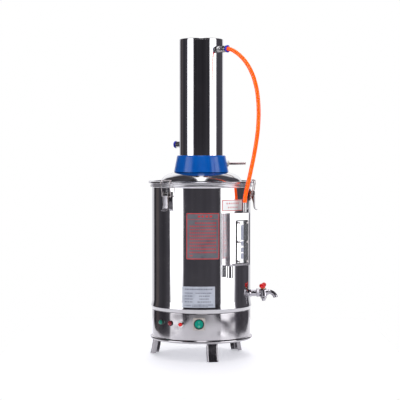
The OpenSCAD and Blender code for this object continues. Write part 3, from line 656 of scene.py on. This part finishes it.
# distillate nozzle with its hose barbs, and its seat washer
prof = [(2.3, 51.5), (3.2, 51.5), (3.2, 71.2), (3.5, 71.5), (3.5, 91.8)]
for i in range(5):
    b = 93 + i * 3.4
    prof += [(3.5, b - 0.3), (2.98, b + 0.1), (2.98, b + 1.1), (3.5, b + 1.4)]
prof += [(3.5, 110.4), (3.2, 111), (2.5, 111), (2.3, 110.8)]
s = Shape().lathe(dense(prof, step=6.0, edge=0.15), radial(90, 480), n=40)
piece("nozzle", s, NOZZLE, nodes=["distillate_nozzle"])
prof = rounded([(3.7, 0.02), (7.3, 0.02, 0.4), (7.4, 4.65, 1.1), (3.7, 4.65, 0.6)])
s = Shape().lathe(dense(prof, step=4), radial(90, 480, 64.65) @ turn("X", 11.1), n=48)
piece("seat_washer", s, WASHER, nodes=["nozzle_washer"])

# push-in fittings and their release rings
HEX = [(math.cos(math.radians(60 * i)), math.sin(math.radians(60 * i))) for i in range(6)]


def hexagon(r, rc=0.6):
    return rounded([(x * r, y * r, rc) for x, y in HEX], count=3)


for side, a, z in (("outlet", 50.0, 762.0), ("inlet", -130.0, 527.0)):
    m = radial(a, z)
    s = Shape().slab(hexagon(9.4), 54.8, 62.2, 0.7, 0.7, m)
    prof = rounded(
        [
            (3.5, 52.6), (5.5, 52.6), (5.5, 61.2), (7.6, 61.2), (7.6, 64.0, 0.3), (8.4, 64.6, 0.4),
            (8.4, 80, 1.0), (6.8, 80, 0.4), (6.8, 68.5), (5.15, 68.5), (5.15, 60), (3.5, 60),
        ]
    )
    s.lathe(dense(prof, step=5), m, n=64)
    piece(side + "_coupling", s, CHROME, nodes=[side + "_fitting"])
    prof = rounded(
        [
            (5.4, 70.5), (6.7, 70.5, 0.3), (6.7, 82.4, 0.3), (9.2, 82.4, 0.7), (9.2, 85.4, 1.1),
            (5.4, 85.4, 0.7),
        ]
    )
    s = Shape().lathe(dense(prof, step=4), m, n=64)
    piece(side + "_collet", s, RING, body=side + "_release", nodes=[side + "_ring"])

# ------------------------------------------------------------------ level box
BOX = upright(40.0)
back = [
    (123.15 * math.sin(math.radians(t)), -123.15 * math.cos(math.radians(t)))
    for t in [16.31 - 32.62 * i / 24 for i in range(25)]
]
outline = [(-34.58, -118.2)] + rounded(
    [(-33.6, -129.8), (-32.2, -146.4, 1.2), (-26, -148, 2.0), (26, -148, 2.0), (32.2, -146.4, 1.2), (33.6, -129.8)],
    closed=False,
    count=6,
) + back
outline = dense(outline, step=6.0, edge=0.4)


def box_level(z):
    """How far the front steps back near the box's top and bottom."""
    e = min(z - 233.5, 361.5 - z)
    return 0.0 if e >= 5.2 else 0.6 * (1 - e / 5.2)


zs = [233.5, 233.6, 234.0, 235.0, 236.0, 237.0, 238.2, 238.5, 239.0, 240.0]
zs += [246 + 8.0 * i for i in range(14)] + [355.0, 356.0, 356.5, 356.8, 358.0, 359.0, 360.0, 361.0, 361.4, 361.5]
n = len(outline)
verts, faces, side_face = [], [], []
for k, z in enumerate(zs):
    step = box_level(z)
    lip = 0.5 if k in (0, len(zs) - 1) else 0.12 if k in (1, len(zs) - 2) else 0.0
    for x, y in outline:
        y = max(y, -148 + step) if y < -130 else y
        if lip and math.hypot(x, y) > 123.4:
            x -= math.copysign(lip, x) if abs(x) > 31.9 else 0.0
            y += lip if y < -140 else 0.0
        verts.append((x, y, z))
for k in range(len(zs) - 1):
    for i in range(n):
        faces.append((k * n + i, k * n + (i + 1) % n, (k + 1) * n + (i + 1) % n, (k + 1) * n + i))
        # flanks, bevels and foot take the paler copies of the box steel: painted sheen
        a, b = outline[i], outline[(i + 1) % n]
        flank = max(a[0], b[0]) < -32.0 and min(a[1], b[1]) > -146.6
        bevel = min(a[0], b[0]) > 25.9 and max(a[1], b[1]) < -146.0
        foot = zs[k + 1] < 238.3 and max(a[1], b[1]) < -146.0
        side_face.append(1 if flank else 2 if bevel or foot else 0)
faces += [tuple(range(n))[::-1], tuple((len(zs) - 1) * n + i for i in range(n))]
s = Shape().put(verts, faces, BOX)
s.m = side_face + [0, 0]
box = piece("level_housing", s, [STEEL_BOX, BOX_SIDE_PAINTED_SHEEN, BOX_EDGE_PAINTED_SHEEN], nodes=["level_box"], sharp=24)


def block(x0, x1, y0, y1, z0, z1, m):
    return Shape().slab([(x0, y0), (x1, y0), (x1, y1), (x0, y1)], z0, z1, m=m)


hollow = [(-34.5, -100.2), (-31, -145.2), (-26, -146.8), (26, -146.8), (31, -145.2), (34.5, -100.2)]
cut_by(box, Shape().slab(hollow, 234.7, 360.3, m=BOX))
SLOTS = [(296, 332), (282, 292.5), (266.5, 277), (250, 263)]
cut_by(box, *[block(-0.1, 9.1, -153, -140, z0, z1, BOX) for z0, z1 in SLOTS])
box.data.shade_smooth()
box.data.set_sharp_from_angle(angle=math.radians(24))

m = BOX @ at(24.05, -136.4, 353.5)
s = Shape().lathe(dense(rounded([(3.2, 0), (4.6, 0), (4.6, 32.4, 0.6), (3.2, 32.4, 0.5)]), step=5), m, n=48)
s.lathe(rounded([(4.5, 7.7), (7.4, 7.7), (5.3, 9.0, 1.0), (4.5, 10.4, 0.5)]), m, n=48)
piece("level_inlet", s, STEEL, nodes=["level_stub"])
m = BOX @ at(-24.5, -137.5, 0)
s = Shape().lathe(dense(rounded([(5.8, 204, 0.5), (7.4, 204, 0.5), (7.4, 233), (6.8, 233.2), (6.8, 320), (5.8, 320)]), step=6), m, n=56)
piece("overflow_tube", s, STEEL, nodes=["overflow_pipe"])

# sight window: dark frame gasket, bowed bright strip with the level slots, clear plate
WIN = radial(40.0)


def oblong(w, z0, z1, r):
    c = 4.5
    return rounded([(c - w, z0, r), (c + w, z0, r), (c + w, z1, r), (c - w, z1, r)], count=5)


def frame_slab(shape, outer, inner, h0, h1, m, slot=0):
    n = len(outer)
    verts = [(x, y, h) for h in (h0, h1) for line in (outer, inner) for x, y in line]
    faces = []
    for i in range(n):
        j = (i + 1) % n
        o0, o1, i0, i1 = 0, 2 * n, n, 3 * n
        faces += [
            (o0 + i, o0 + j, o1 + j, o1 + i),
            (i0 + i, i0 + j, i1 + j, i1 + i),
            (o0 + i, o0 + j, i0 + j, i0 + i),
            (o1 + i, o1 + j, i1 + j, i1 + i),
        ]
    return shape.put(verts, faces, m, slot)


s = frame_slab(Shape(), oblong(19, 238, 344, 3.2), oblong(16.9, 240.1, 341.9, 1.6), 148.05, 149.5, WIN)
piece("window_frame_seal", s, RUBBER, nodes=["window_gasket"])

xs = [-12.2 + 33.4 * i / 40 for i in range(41)]


def bow(x):
    return 148.35 + 0.55 * (1 - ((x - 4.5) / 17.0) ** 2) if x < 9.4 else 148.35 + 0.55 * (1 - ((9.4 - 4.5) / 17.0) ** 2) - (x - 9.4) * 0.055


zs = sorted({240.3, 341.7} | {z for pair in SLOTS for z in pair})
cols = sorted(set(xs) | {-0.1, 9.1})
verts, faces, slots = [], [], []
for h in (0.0, -0.25):
    for z in zs:
        verts += [(x, z, bow(x) + h) for x in cols]
nc, nz = len(cols), len(zs)
for layer in (0, 1):
    for i in range(nz - 1):
        for j in range(nc - 1):
            o = layer * nc * nz + i * nc + j
            mid_x, mid_z = (cols[j] + cols[j + 1]) / 2, (zs[i] + zs[i + 1]) / 2
            is_slot = -0.1 < mid_x < 9.1 and any(a < mid_z < b for a, b in SLOTS)
            faces.append((o, o + 1, o + nc + 1, o + nc))
            slots.append(1 if is_slot else 2 if mid_x > 9.1 else 0)
rim = [i for i in range(nc)] + [i * nc + nc - 1 for i in range(1, nz)]
rim += [(nz - 1) * nc + i for i in range(nc - 2, -1, -1)] + [i * nc for i in range(nz - 2, 0, -1)]
for a, b in zip(rim, rim[1:] + rim[:1]):
    faces.append((a, b, nc * nz + b, nc * nz + a))
    slots.append(0)
s = Shape().put(verts, faces, WIN)
s.m = slots
piece("level_scale", s, [STEEL, STRIP, STRIP_DARK])

s = Shape().slab(oblong(18, 239, 343, 2.4), 149.55, 152.6, 0.25, 0.7, WIN)
piece("window_plate", s, CLEAR, nodes=["sight_window"])

# ------------------------------------------------------------------ drain tap
TAP = radial(86.0, 156.0, 123.0, 4.0)
UP = TAP @ at(0, 0, 32.2) @ turn("X", -90)
REST = UP @ turn("Z", -11)
s = Shape().lathe(dense(rounded([(6, -3.2), (8.5, -3.2), (8.5, 20.5, 0.4), (6, 20.5)]), step=4), TAP, n=64)
s.lathe(rounded([(8.4, -1.6), (11.4, -1.6), (9.4, 1.4, 1.2), (8.4, 3.0, 0.6)]), TAP, n=64)
piece("drain_pipe", s, PLATED, nodes=["drain_stub"])

s = Shape().slab(hexagon(11.6, 0.7), 15.2, 23.2, 1.0, 1.0, TAP)
s.lathe(dense(rounded([(0, 21.7), (7.6, 21.7), (7.6, 45.2, 0.6), (0, 45.2)], closed=False), step=4, closed=False), TAP, n=64, closed=False)
s.lathe(
    dense(
        rounded(
            [(0, -11.5), (8.2, -11.5, 0.8), (9.4, -9.6, 1.0), (9.4, 6.6, 1.2), (7.8, 9.0, 0.8), (0, 9.0)],
            closed=False,
        ),
        step=3,
        closed=False,
    ),
    UP,
    n=64,
    closed=False,
)
piece("tap_housing", s, PLATED, nodes=["tap_body"])

spout = []
for i in range(33):
    t = math.radians(82.0 * i / 32)
    spout.append((0, -17 + 17 * math.cos(t), 45.25 + 17 * math.sin(t)))
spout = [(0, 0, 44.0)] + spout
rad = [5.75] * len(spout)
rad[-1], rad[-2] = 5.55, 5.75
s = Shape().tube(spout, rad, n=40, m=TAP, inner=[4.2] * len(spout))
s.lathe(rounded([(5.6, 42.8), (6.9, 42.8, 0.5), (6.9, 46.2, 0.8), (5.6, 46.8, 0.4)]), TAP, n=48)
piece("spout", s, PLATED, nodes=["tap_spout"])

s = Shape().lathe(
    dense(rounded([(3.7, 10.2), (6, 10.2, 0.6), (5.6, 16, 1.0), (6.0, 20.7, 1.6), (0, 20.7), (0, 17.6), (3.7, 17.6)], closed=True), step=3),
    UP,
    n=48,
)
bar = []
for i in range(33):
    t = -1 + 2 * i / 32
    bar.append((13.5 * t, 0.0, 17.0 + 0.4 * t * t))
s.tube(bar, [3.1 + 0.7 * abs(-1 + 2 * i / 32) for i in range(33)], n=28, m=REST)
for q in (-1, 1):
    ball = [(0, -5.9)] + [(5.9 * math.cos(t), 5.9 * math.sin(t)) for t in [math.radians(-84 + 168 * i / 22) for i in range(23)]] + [(0, 5.9)]
    s.lathe(ball, REST @ at(q * 13.5, 0, 17.2), n=40, closed=False)
piece("handle", s, RED, body="tap_valve", nodes=["tap_handle"])

s = Shape().lathe(
    dense(rounded([(3.1, -12.0), (7.2, -12.0, 0.5), (7.2, -15.4, 0.6), (5.9, -15.6, 0.3), (4.0, -21.5, 0.8), (0, -21.5), (0, -20.2), (3.1, -20.2)], closed=True), step=3),
    UP,
    n=48,
)
piece("gland_nut", s, PLATED, body="tap_valve", nodes=["tap_nut"])

# ------------------------------------------------------------------ latch levers
tip = bez([(134.6, 376), (134.6, 370.5), (136, 367.6), (141, 366)], 10)
run = [(134.6, 402.4 - (402.4 - 376) * i / 14) for i in range(14)] + tip


def lever_depth(z):
    table = [(402.4, 8.7), (399, 8.7), (394, 6.6), (384, 3.0), (376, 1.9), (370, 1.35), (360, 1.35)]
    for (z1, d1), (z0, d0) in zip(table, table[1:]):
        if z >= z0:
            return d0 + (d1 - d0) * (z - z0) / (z1 - z0)
    return 1.35


for side, a in (("left", -41.0), ("right", 80.0), ("rear", -160.0)):
    m = upright(a)
    s = Shape().channel(run, 16.8, [lever_depth(z) for u, z in run], 1.9, 1.2, m)
    ear = rounded(
        [(125.9, 403.2, 1.0), (125.9, 401.6), (134.4, 401.6), (134.2, 404.0, 1.0)]
        + arc(130, 408.4, 4.3, 10, 200, 18)
    )
    for q in (-1, 1):
        w0, w1 = (7.2, 8.4) if q > 0 else (-8.4, -7.2)
        side_m = m @ Matrix(((0, 0, 1, 0), (-1, 0, 0, 0), (0, 1, 0, 0), (0, 0, 0, 1)))
        s.slab(ear, w0, w1, 0.25, 0.25, side_m)
    arm = piece("lever_arm_" + side, s, [LEVER, LEVER_SIDE_PAINTED_SHADE], body="lever_%s_body" % side, nodes=["lever_" + side])
    across_arm = around(a)[1]
    # faces across the arm take the dark copy: painted shade on the levers' sides
    for face in arm.data.polygons:
        face.material_index = 1 if abs(face.normal.dot(across_arm)) > 0.7 else 0

# ------------------------------------------------------------------ controls
for col, a, lens_mat, slot in (("green", -52.3, GREEN_LENS, "green_lens"), ("red", -37.5, RED_LENS, "red_lens")):
    m = radial(a, 91.0)
    prof = [(0, 125.25)] + rounded([(5.4, 125.25), (5.6, 125.6), (5.6, 126.6, 0.4), (5.1, 126.9, 0.2)], closed=False)
    prof += [(5.2 * math.cos(t), 126.3 + 5.2 * math.sin(t)) for t in [math.radians(12 + 74 * i / 14) for i in range(15)]]
    prof += [(0, 131.5)]
    s = Shape().lathe(prof, m, n=48, closed=False)
    piece(col + "_lamp_lens", s, lens_mat, nodes=[col + "_lens"])

m = radial(-23.6, 90.0)
s = Shape().lathe(
    dense(rounded([(4.75, 124.5), (5.6, 124.5), (5.6, 121.4), (7.2, 121.4), (7.2, 126.2, 0.5), (6.0, 127.0, 0.6), (4.75, 127.0, 0.4)]), step=3),
    m,
    n=56,
)
piece("reset_bezel", s, CHROME, nodes=["button_bezel"])
s = Shape().lathe(
    dense(rounded([(0, 108), (2, 108, 0.2), (2, 121.5), (4.45, 121.5, 0.3), (4.45, 130.6, 1.0), (3.4, 131.9, 1.2), (0, 131.9)], closed=False), step=3, closed=False),
    m,
    n=48,
    closed=False,
)
piece("reset_cap", s, RED, body="button", nodes=["reset_button"])

SW = radial(-2.6, 92.0)
square = rounded([(-15, -15, 3), (15, -15, 3), (15, 15, 3), (-15, 15, 3)], count=6)
s = Shape().slab(square, 118.0, 127.5, 0.0, 1.4, SW, k=5)
plate = piece("switch_escutcheon", s, BEIGE, nodes=["switch_plate"])
cut_by(plate, Shape().lathe([(0, 100), (11, 100), (11, 140), (0, 140)], SW, n=96, closed=False))
cut_by(plate, Shape().lathe([(0, 60), (122.2, 60), (122.2, 124), (0, 124)], n=160, closed=False))
plate.data.shade_smooth()
plate.data.set_sharp_from_angle(angle=math.radians(24))

s = Shape().lathe(rounded([(10.95, 127.2), (12.7, 127.2), (12.7, 127.8, 0.2), (10.95, 127.8, 0.2)]), SW, n=80)
piece("switch_trim_ring", s, BLACK)

ROCK = SW @ at(0, 0, 125) @ turn("X", 8)
s = Shape().lathe(
    dense(rounded([(0, -2.2), (10.6, -2.2, 0.3), (10.6, 1.6, 0.5), (9.5, 3.2, 1.2), (0, 3.4)], closed=False), step=3, closed=False),
    ROCK,
    n=80,
    closed=False,
)
for q in (-1, 1):
    s.lathe(
        dense(rounded([(0, 10.0), (1.5, 10.0), (1.5, 12.6, 0.3), (0, 12.6)], closed=False), step=3, closed=False),
        ROCK @ turn("Y", 90 * q),
        n=24,
        closed=False,
    )
s.slab(rounded([(-0.55, 3.0, 0.3), (0.55, 3.0, 0.3), (0.55, 7.2, 0.3), (-0.55, 7.2, 0.3)]), 3.2, 3.46, 0, 0.05, ROCK, slot=1)
ring = [(2.15 * math.cos(math.radians(10 * i)), -4.9 + 2.15 * math.sin(math.radians(10 * i))) for i in range(36)]
ring_in = [(1.35 * math.cos(math.radians(10 * i)), -4.9 + 1.35 * math.sin(math.radians(10 * i))) for i in range(36)]
frame_slab(s, ring, ring_in, 3.2, 3.46, ROCK, slot=1)
piece("rocker_cap", s, [GREEN, WHITE_MARK], body="rocker", nodes=["switch_rocker"])


# ------------------------------------------------------------------ plain panels on the boiler wall
def wall_r(z):
    if z >= 139.5:
        return 123.0
    if z >= 126.5:
        return 123.0 + 2.4 * (139.5 - z) / 13.0
    return 125.4 - 2.5 * (126.5 - z) / 8.5


def wrapped(shape, az0, az1, z0, z1, rc, r0, r1, slot=0, cols=60):
    """A thin skin on the wall, standing r0 to r1 off it, with corners of radius rc."""
    span_mm = math.radians(az1 - az0) * 123.0
    marks = {i / cols for i in range(cols + 1)}
    if rc:
        for t in (0.05, 0.13, 0.3, 0.5, 0.75, 1.0):
            marks |= {t * rc / span_mm, 1 - t * rc / span_mm}
    marks = sorted(marks)
    rows = [0.0, 0.02, 0.2, 0.4, 0.6, 0.8, 0.98, 1.0]
    if z0 + 2 < 139.5 < z1 - 2:
        rows = sorted(rows + [(139.5 - z0) / (z1 - z0)])
    verts, faces = [], []
    for off in (r1, r0):
        for u in marks:
            x = u * span_mm
            e = min(x, span_mm - x)
            inset = rc - math.sqrt(max(0.0, rc * rc - (rc - e) ** 2)) if rc and e < rc else 0.0
            for v in rows:
                z = z0 + inset + (z1 - z0 - 2 * inset) * v
                uu, _ = around(az0 + (az1 - az0) * u)
                p = uu * (wall_r(z) + off)
                verts.append((p.x, p.y, z))
    nr, ncol = len(rows), len(marks)
    for layer in (0, 1):
        for i in range(ncol - 1):
            for j in range(nr - 1):
                o = layer * nr * ncol + i * nr + j
                faces.append((o, o + nr, o + nr + 1, o + 1))
    rim = [i * nr for i in range(ncol)] + [(ncol - 1) * nr + j for j in range(1, nr)]
    rim += [i * nr + nr - 1 for i in range(ncol - 2, -1, -1)] + [j for j in range(nr - 2, 0, -1)]
    o = nr * ncol
    for a, b in zip(rim, rim[1:] + rim[:1]):
        faces.append((a, b, o + b, o + a))
    return shape.put(verts, faces, None, slot)


def wrapped_band(shape, az0, az1, z0, z1, rc, width, inset, r0, r1, slot=0):
    """A thin frame on the wall."""
    half = math.radians(az1 - az0) * 123.0 / 2
    mid = (az0 + az1) / 2
    lines = []
    for k in (inset, inset + width):
        r = max(rc - k, 0.4)
        pts = rounded([(-half + k, z0 + k, r), (half - k, z0 + k, r), (half - k, z1 - k, r), (-half + k, z1 - k, r)], count=6)
        lines.append(pts)
    full = []
    for pts in lines:
        out, n = [], len(pts)
        for i in range(n):
            a, b = Vector(pts[i]), Vector(pts[(i + 1) % n])
            k = 24 if i % 7 == 6 else 1
            out += [tuple(a + (b - a) * j / k) for j in range(k)]
        full.append(out)
    n = len(full[0])
    verts = []
    for off in (r0, r1):
        for pts in full:
            for x, z in pts:
                uu, _ = around(mid + math.degrees(x / 123.0))
                p = uu * (wall_r(z) + off)
                verts.append((p.x, p.y, z))
    faces = []
    for i in range(n):
        j = (i + 1) % n
        o0, i0, o1, i1 = 0, n, 2 * n, 3 * n
        faces += [
            (o0 + i, o0 + j, o1 + j, o1 + i),
            (i0 + i, i0 + j, i1 + j, i1 + i),
            (o0 + i, o0 + j, i0 + j, i0 + i),
            (o1 + i, o1 + j, i1 + j, i1 + i),
        ]
    return shape.put(verts, faces, None, slot)


def ruled(shape, az0, az1, z, h, slot, off=0.47):
    wrapped(shape, az0, az1, z - h / 2, z + h / 2, 0, off, off + 0.035, slot, cols=24)


def blocks(shape, az0, az1, z, h, slot, pitch=2.0, fill=0.66, off=0.47):
    """A row of plain blocks of uneven width."""
    n = max(1, round((az1 - az0) / pitch))
    step = (az1 - az0) / n
    for i in range(n):
        k = fill * (0.82 + 0.36 * ((i * 37 + int(z * 7)) % 11) / 10.0)
        a = az0 + i * step
        wrapped(shape, a, a + step * min(k, 0.92), z - h / 2, z + h / 2, 0, off, off + 0.035, slot, cols=2)


# tall panel: grey film, red border, rows of plain blocks
s = Shape()
wrapped(s, -17.2, 20.7, 249, 361.6, 3.0, 0.05, 0.45, 0)
wrapped_band(s, -17.2, 20.7, 249, 361.6, 3.0, 1.9, 0.5, 0.44, 0.49, 1)
ruled(s, -16.2, 19.7, 345.8, 0.8, 1)
for i in range(11):
    z = 337.3 - i * 7.9
    blocks(s, -13.3 + (6.5 if i == 0 else 0), 17.6 if i < 10 else -9.3, z, 3.5, 1, pitch=2.4, fill=0.56)
blocks(s, -4.0, 13.6, 353.2, 4.6, 1, pitch=4.4, fill=0.6)
piece("tall_panel", s, [FILM_GREY, FILM_RED], nodes=["front_panels"])

# lower plate: pale film with rows of plain blocks
s = Shape()
wrapped(s, -22, 15.6, 132, 183, 1.2, 0.05, 0.45, 0)
blocks(s, -18.6, 13.0, 176.6, 3.0, 1)
for i, (a, b) in enumerate(((-6.4, 12.2), (-2.4, 10.0), (-2.0, 9.0), (-4.2, 11.4))):
    blocks(s, -18.9, -9.4, 167.2 - i * 7.1, 2.6, 1, fill=0.6)
    blocks(s, a, b, 167.2 - i * 7.1, 2.6, 1, fill=0.6)
ruled(s, -20.0, -11.9, 137.4, 1.0, 1)
blocks(s, -9.9, 13.6, 138.4, 2.2, 1, pitch=1.5, fill=0.62)
blocks(s, -9.9, 8.0, 134.5, 2.0, 1, pitch=1.5, fill=0.62)
piece("lower_plate", s, [FILM_PALE, FILM_INK])

# small panel: pale film, red border
s = Shape()
wrapped(s, 23.9, 54.4, 365, 393.3, 2.0, 0.05, 0.45, 0)
wrapped_band(s, 23.9, 54.4, 365, 393.3, 2.0, 1.7, 0.5, 0.44, 0.49, 1)
blocks(s, 29.8, 49.2, 384.0, 3.6, 1, pitch=3.2, fill=0.42)
blocks(s, 32.0, 47.2, 374.2, 3.6, 1, pitch=3.2, fill=0.42)
piece("small_panel", s, [FILM_WHITE, FILM_RED])

# ------------------------------------------------------------------ carried-over CAD nodes
BY_SLOT = {
    "polished_steel": STEEL, "satin_steel": SATIN, "zinc_steel": ZINC, "element_sheath": SHEATH,
    "brass": BRASS, "chromed_brass": CHROME, "blue_collar": BLUE, "blue_ring": RING,
    "orange_hose": HOSE, "pale_washer": WASHER, "silicone": SILICONE, "black_rubber": RUBBER,
    "clear_plate": CLEAR, "red_plastic": RED, "green_plastic": GREEN, "green_lens": GREEN_LENS,
    "red_lens": RED_LENS, "beige_plastic": BEIGE, "black_plastic": BLACK, "panel_film": FILM_PALE,
}
for n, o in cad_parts.items():
    for k in o.material_slots:
        name = k.material.name.split(".")[0] if k.material else "satin_steel"
        k.material = WIRE if n.startswith("bail_") else SCREW if n == "window_screws" else BY_SLOT.get(name, SATIN)

# ------------------------------------------------------------------ studio
world = bpy.data.worlds.new("studio")
scene.world = world
world.use_nodes = True
wt = world.node_tree
wt.nodes.clear()


def wnode(kind, **props):
    n = wt.nodes.new(kind)
    for k, v in props.items():
        setattr(n, k, v)
    return n


def wmath(op, a, b=None):
    n = wnode("ShaderNodeMath", operation=op)
    for i, x in enumerate((a, b)):
        if x is None:
            continue
        if isinstance(x, (int, float)):
            n.inputs[i].default_value = x
        else:
            wt.links.new(x, n.inputs[i])
    return n.outputs[0]


def rise(v, a, b):
    n = wnode("ShaderNodeMapRange", interpolation_type="SMOOTHSTEP")
    n.inputs["From Min"].default_value = math.radians(a)
    n.inputs["From Max"].default_value = math.radians(b)
    wt.links.new(v, n.inputs["Value"])
    return n.outputs["Result"]


def band(v, a, b, soft):
    return wmath("SUBTRACT", rise(v, a - soft, a + soft), rise(v, b - soft, b + soft))


tc = wnode("ShaderNodeTexCoord")
sep = wnode("ShaderNodeSeparateXYZ")
wt.links.new(tc.outputs["Generated"], sep.inputs[0])
turn_az = wmath("ARCTAN2", sep.outputs["X"], wmath("MULTIPLY", sep.outputs["Y"], -1.0))
elev = wmath("ARCSINE", sep.outputs["Z"])
away = wmath("ABSOLUTE", turn_az)
side_l = wmath("SUBTRACT", rise(turn_az, -79.5, -74.5), rise(turn_az, -47.0, -40.5))
side_r = wmath("SUBTRACT", rise(turn_az, 44.0, 48.5), rise(turn_az, 79.5, 88.0))
side_e = band(elev, -6.6, 20, 2.0)
back_m = rise(away, 142, 150)
back_e = wmath("SUBTRACT", 1.0, rise(elev, 32, 46))
across = wnode("ShaderNodeMapRange", interpolation_type="SMOOTHSTEP")
across.inputs["From Min"].default_value = 0.11
across.inputs["From Max"].default_value = 0.19
across.inputs["To Min"].default_value = 1.0
across.inputs["To Max"].default_value = 0.0
wt.links.new(wmath("ABSOLUTE", sep.outputs["X"]), across.inputs["Value"])
top_m = across.outputs["Result"]
top_e = rise(elev, 37, 42)
lights = wmath("MULTIPLY", wmath("ADD", side_l, side_r), wmath("MULTIPLY", side_e, 3.0))
lights = wmath("ADD", lights, wmath("MULTIPLY", wmath("MULTIPLY", back_m, back_e), wmath("ADD", 0.78, wmath("MULTIPLY", rise(elev, 4, 14), 0.4))))
lights = wmath("ADD", lights, wmath("MULTIPLY", wmath("MULTIPLY", top_m, top_e), 2.2))
# the dim room between the lights: a lavender grey, darker ahead above eye level, with soft streaks at the sides
room = wnode("ShaderNodeCombineXYZ")
wt.links.new(turn_az, room.inputs[0])
wt.links.new(wmath("MULTIPLY", elev, 0.25), room.inputs[1])
gleam = wnode("ShaderNodeTexNoise")
gleam.inputs["Scale"].default_value = 3.2
gleam.inputs["Detail"].default_value = 1.0
wt.links.new(room.outputs[0], gleam.inputs["Vector"])
dim = wnode("ShaderNodeMapRange", interpolation_type="SMOOTHSTEP")
dim.inputs["From Min"].default_value = 0.36
dim.inputs["From Max"].default_value = 0.74
dim.inputs["To Min"].default_value = 0.078
dim.inputs["To Max"].default_value = 0.102
wt.links.new(gleam.outputs[0], dim.inputs["Value"])
level = dim.outputs["Result"]
ahead = wmath("MULTIPLY", wmath("SUBTRACT", 1.0, rise(away, 34, 46)), rise(elev, -3.0, 1.2))
for part, gain in (
    (ahead, -0.046),
    (band(turn_az, -112, -92, 8), -0.024),
    (band(turn_az, -142, -132, 3), -0.05),
    (band(turn_az, -129, -118, 3), 0.035),
    (band(turn_az, 80, 92, 5), 0.07),
    (band(turn_az, 113, 133, 8), 0.03),
):
    level = wmath("ADD", level, wmath("MULTIPLY", part, gain))
env = wnode("ShaderNodeBackground")


def tint(fac, a, b):
    n = wnode("ShaderNodeMix", data_type="RGBA")
    wt.links.new(fac, n.inputs["Factor"])
    for k in n.inputs:
        if k.type == "RGBA":
            c = a if k.name == "A" else b
            if isinstance(c, tuple):
                k.default_value = (*c, 1.0)
            else:
                wt.links.new(c, k)
    return [o for o in n.outputs if o.type == "RGBA"][0]


hue = tint(wmath("MINIMUM", lights, 1.0), (0.90, 0.85, 1.0), (0.98, 0.98, 1.0))
hue = tint(band(turn_az, -131, -117, 4), hue, (1.0, 0.86, 0.88))
wt.links.new(hue, env.inputs["Color"])
lights = wmath("ADD", lights, level)
wt.links.new(lights, env.inputs["Strength"])
white = wnode("ShaderNodeBackground")
white.inputs["Color"].default_value = (1.0, 1.0, 1.0, 1.0)
path = wnode("ShaderNodeLightPath")
mix = wnode("ShaderNodeMixShader")
wt.links.new(path.outputs["Is Camera Ray"], mix.inputs["Fac"])
wt.links.new(env.outputs[0], mix.inputs[1])
wt.links.new(white.outputs[0], mix.inputs[2])
wo = wnode("ShaderNodeOutputWorld")
wt.links.new(mix.outputs[0], wo.inputs["Surface"])

# floor: a pale sheet under and around the object; its colour and glow fade to dark towards the front, painted shade for
# the dimmer floor far in front
me = bpy.data.meshes.new("floor_sheet")
x0, x1, y0, y1 = -0.50, 0.50, -0.62, 0.7
me.from_pydata([(x0, y0, 0), (x1, y0, 0), (x1, y1, 0), (x0, y1, 0)], [], [(0, 1, 2, 3)])
floor = bpy.data.objects.new("floor_sheet", me)
scene.collection.objects.link(floor)
mat, nt, b, vec = shader("floor_paper")
far = nt.nodes.new("ShaderNodeSeparateXYZ")
nt.links.new(vec, far.inputs[0])
# painted shade: colour and glow (emission) fall from pale near the object to dark far in front
painted_floor_light = span(nt, total(nt, far.outputs["Y"], span(nt, noise(nt, vec, 3.0, 3.0), -0.02, 0.02)), 0.0, 1.0, -1.5, -0.60)
nt.links.new(shade(nt, painted_floor_light, (0.05, 0.048, 0.05), (0.87, 0.865, 0.885), 0.0, 1.0), b.inputs["Base Color"])
nt.links.new(span(nt, painted_floor_light, 0.02, 0.37, 0.0, 1.0), b.inputs["Emission Strength"])
nt.links.new(span(nt, noise(nt, vec, 40.0), 0.55, 0.7), b.inputs["Roughness"])
b.inputs["Specular IOR Level"].default_value = 0.1
b.inputs["Emission Color"].default_value = (0.93, 0.94, 1.0, 1.0)
me.materials.append(mat)
# the sheet's front run, darkened with painted shade, met only by reflections
me = bpy.data.meshes.new("floor_front")
me.from_pydata([(x0, -1.55, 0), (x1, -1.55, 0), (x1, y0, 0), (x0, y0, 0)], [], [(0, 1, 2, 3)])
me.materials.append(mat)
front = bpy.data.objects.new("floor_front", me)
scene.collection.objects.link(front)
front.visible_camera = False

lamp = bpy.data.lights.new("overhead", "AREA")
lamp.shape = "RECTANGLE"
lamp.size, lamp.size_y = 2.2, 1.0
lamp.energy = 10.5
over = bpy.data.objects.new("overhead", lamp)
scene.collection.objects.link(over)
over.location = (0.08, 0.18, 1.75)
over.rotation_euler = (math.radians(-5), math.radians(2), 0)
over.visible_glossy = False

lamp = bpy.data.lights.new("front_fill", "AREA")
lamp.shape = "RECTANGLE"
lamp.size, lamp.size_y = 2.0, 1.4
lamp.energy = 22.0
fill = bpy.data.objects.new("front_fill", lamp)
scene.collection.objects.link(fill)
fill.location = (0.2, -2.6, 1.5)
fill.rotation_euler = (Vector((0.2, -2.6, 1.5)) - Vector((0, 0, 0.4))).to_track_quat("Z", "Y").to_euler()
fill.visible_glossy = False

# ------------------------------------------------------------------ finish
bpy.context.view_layer.update()
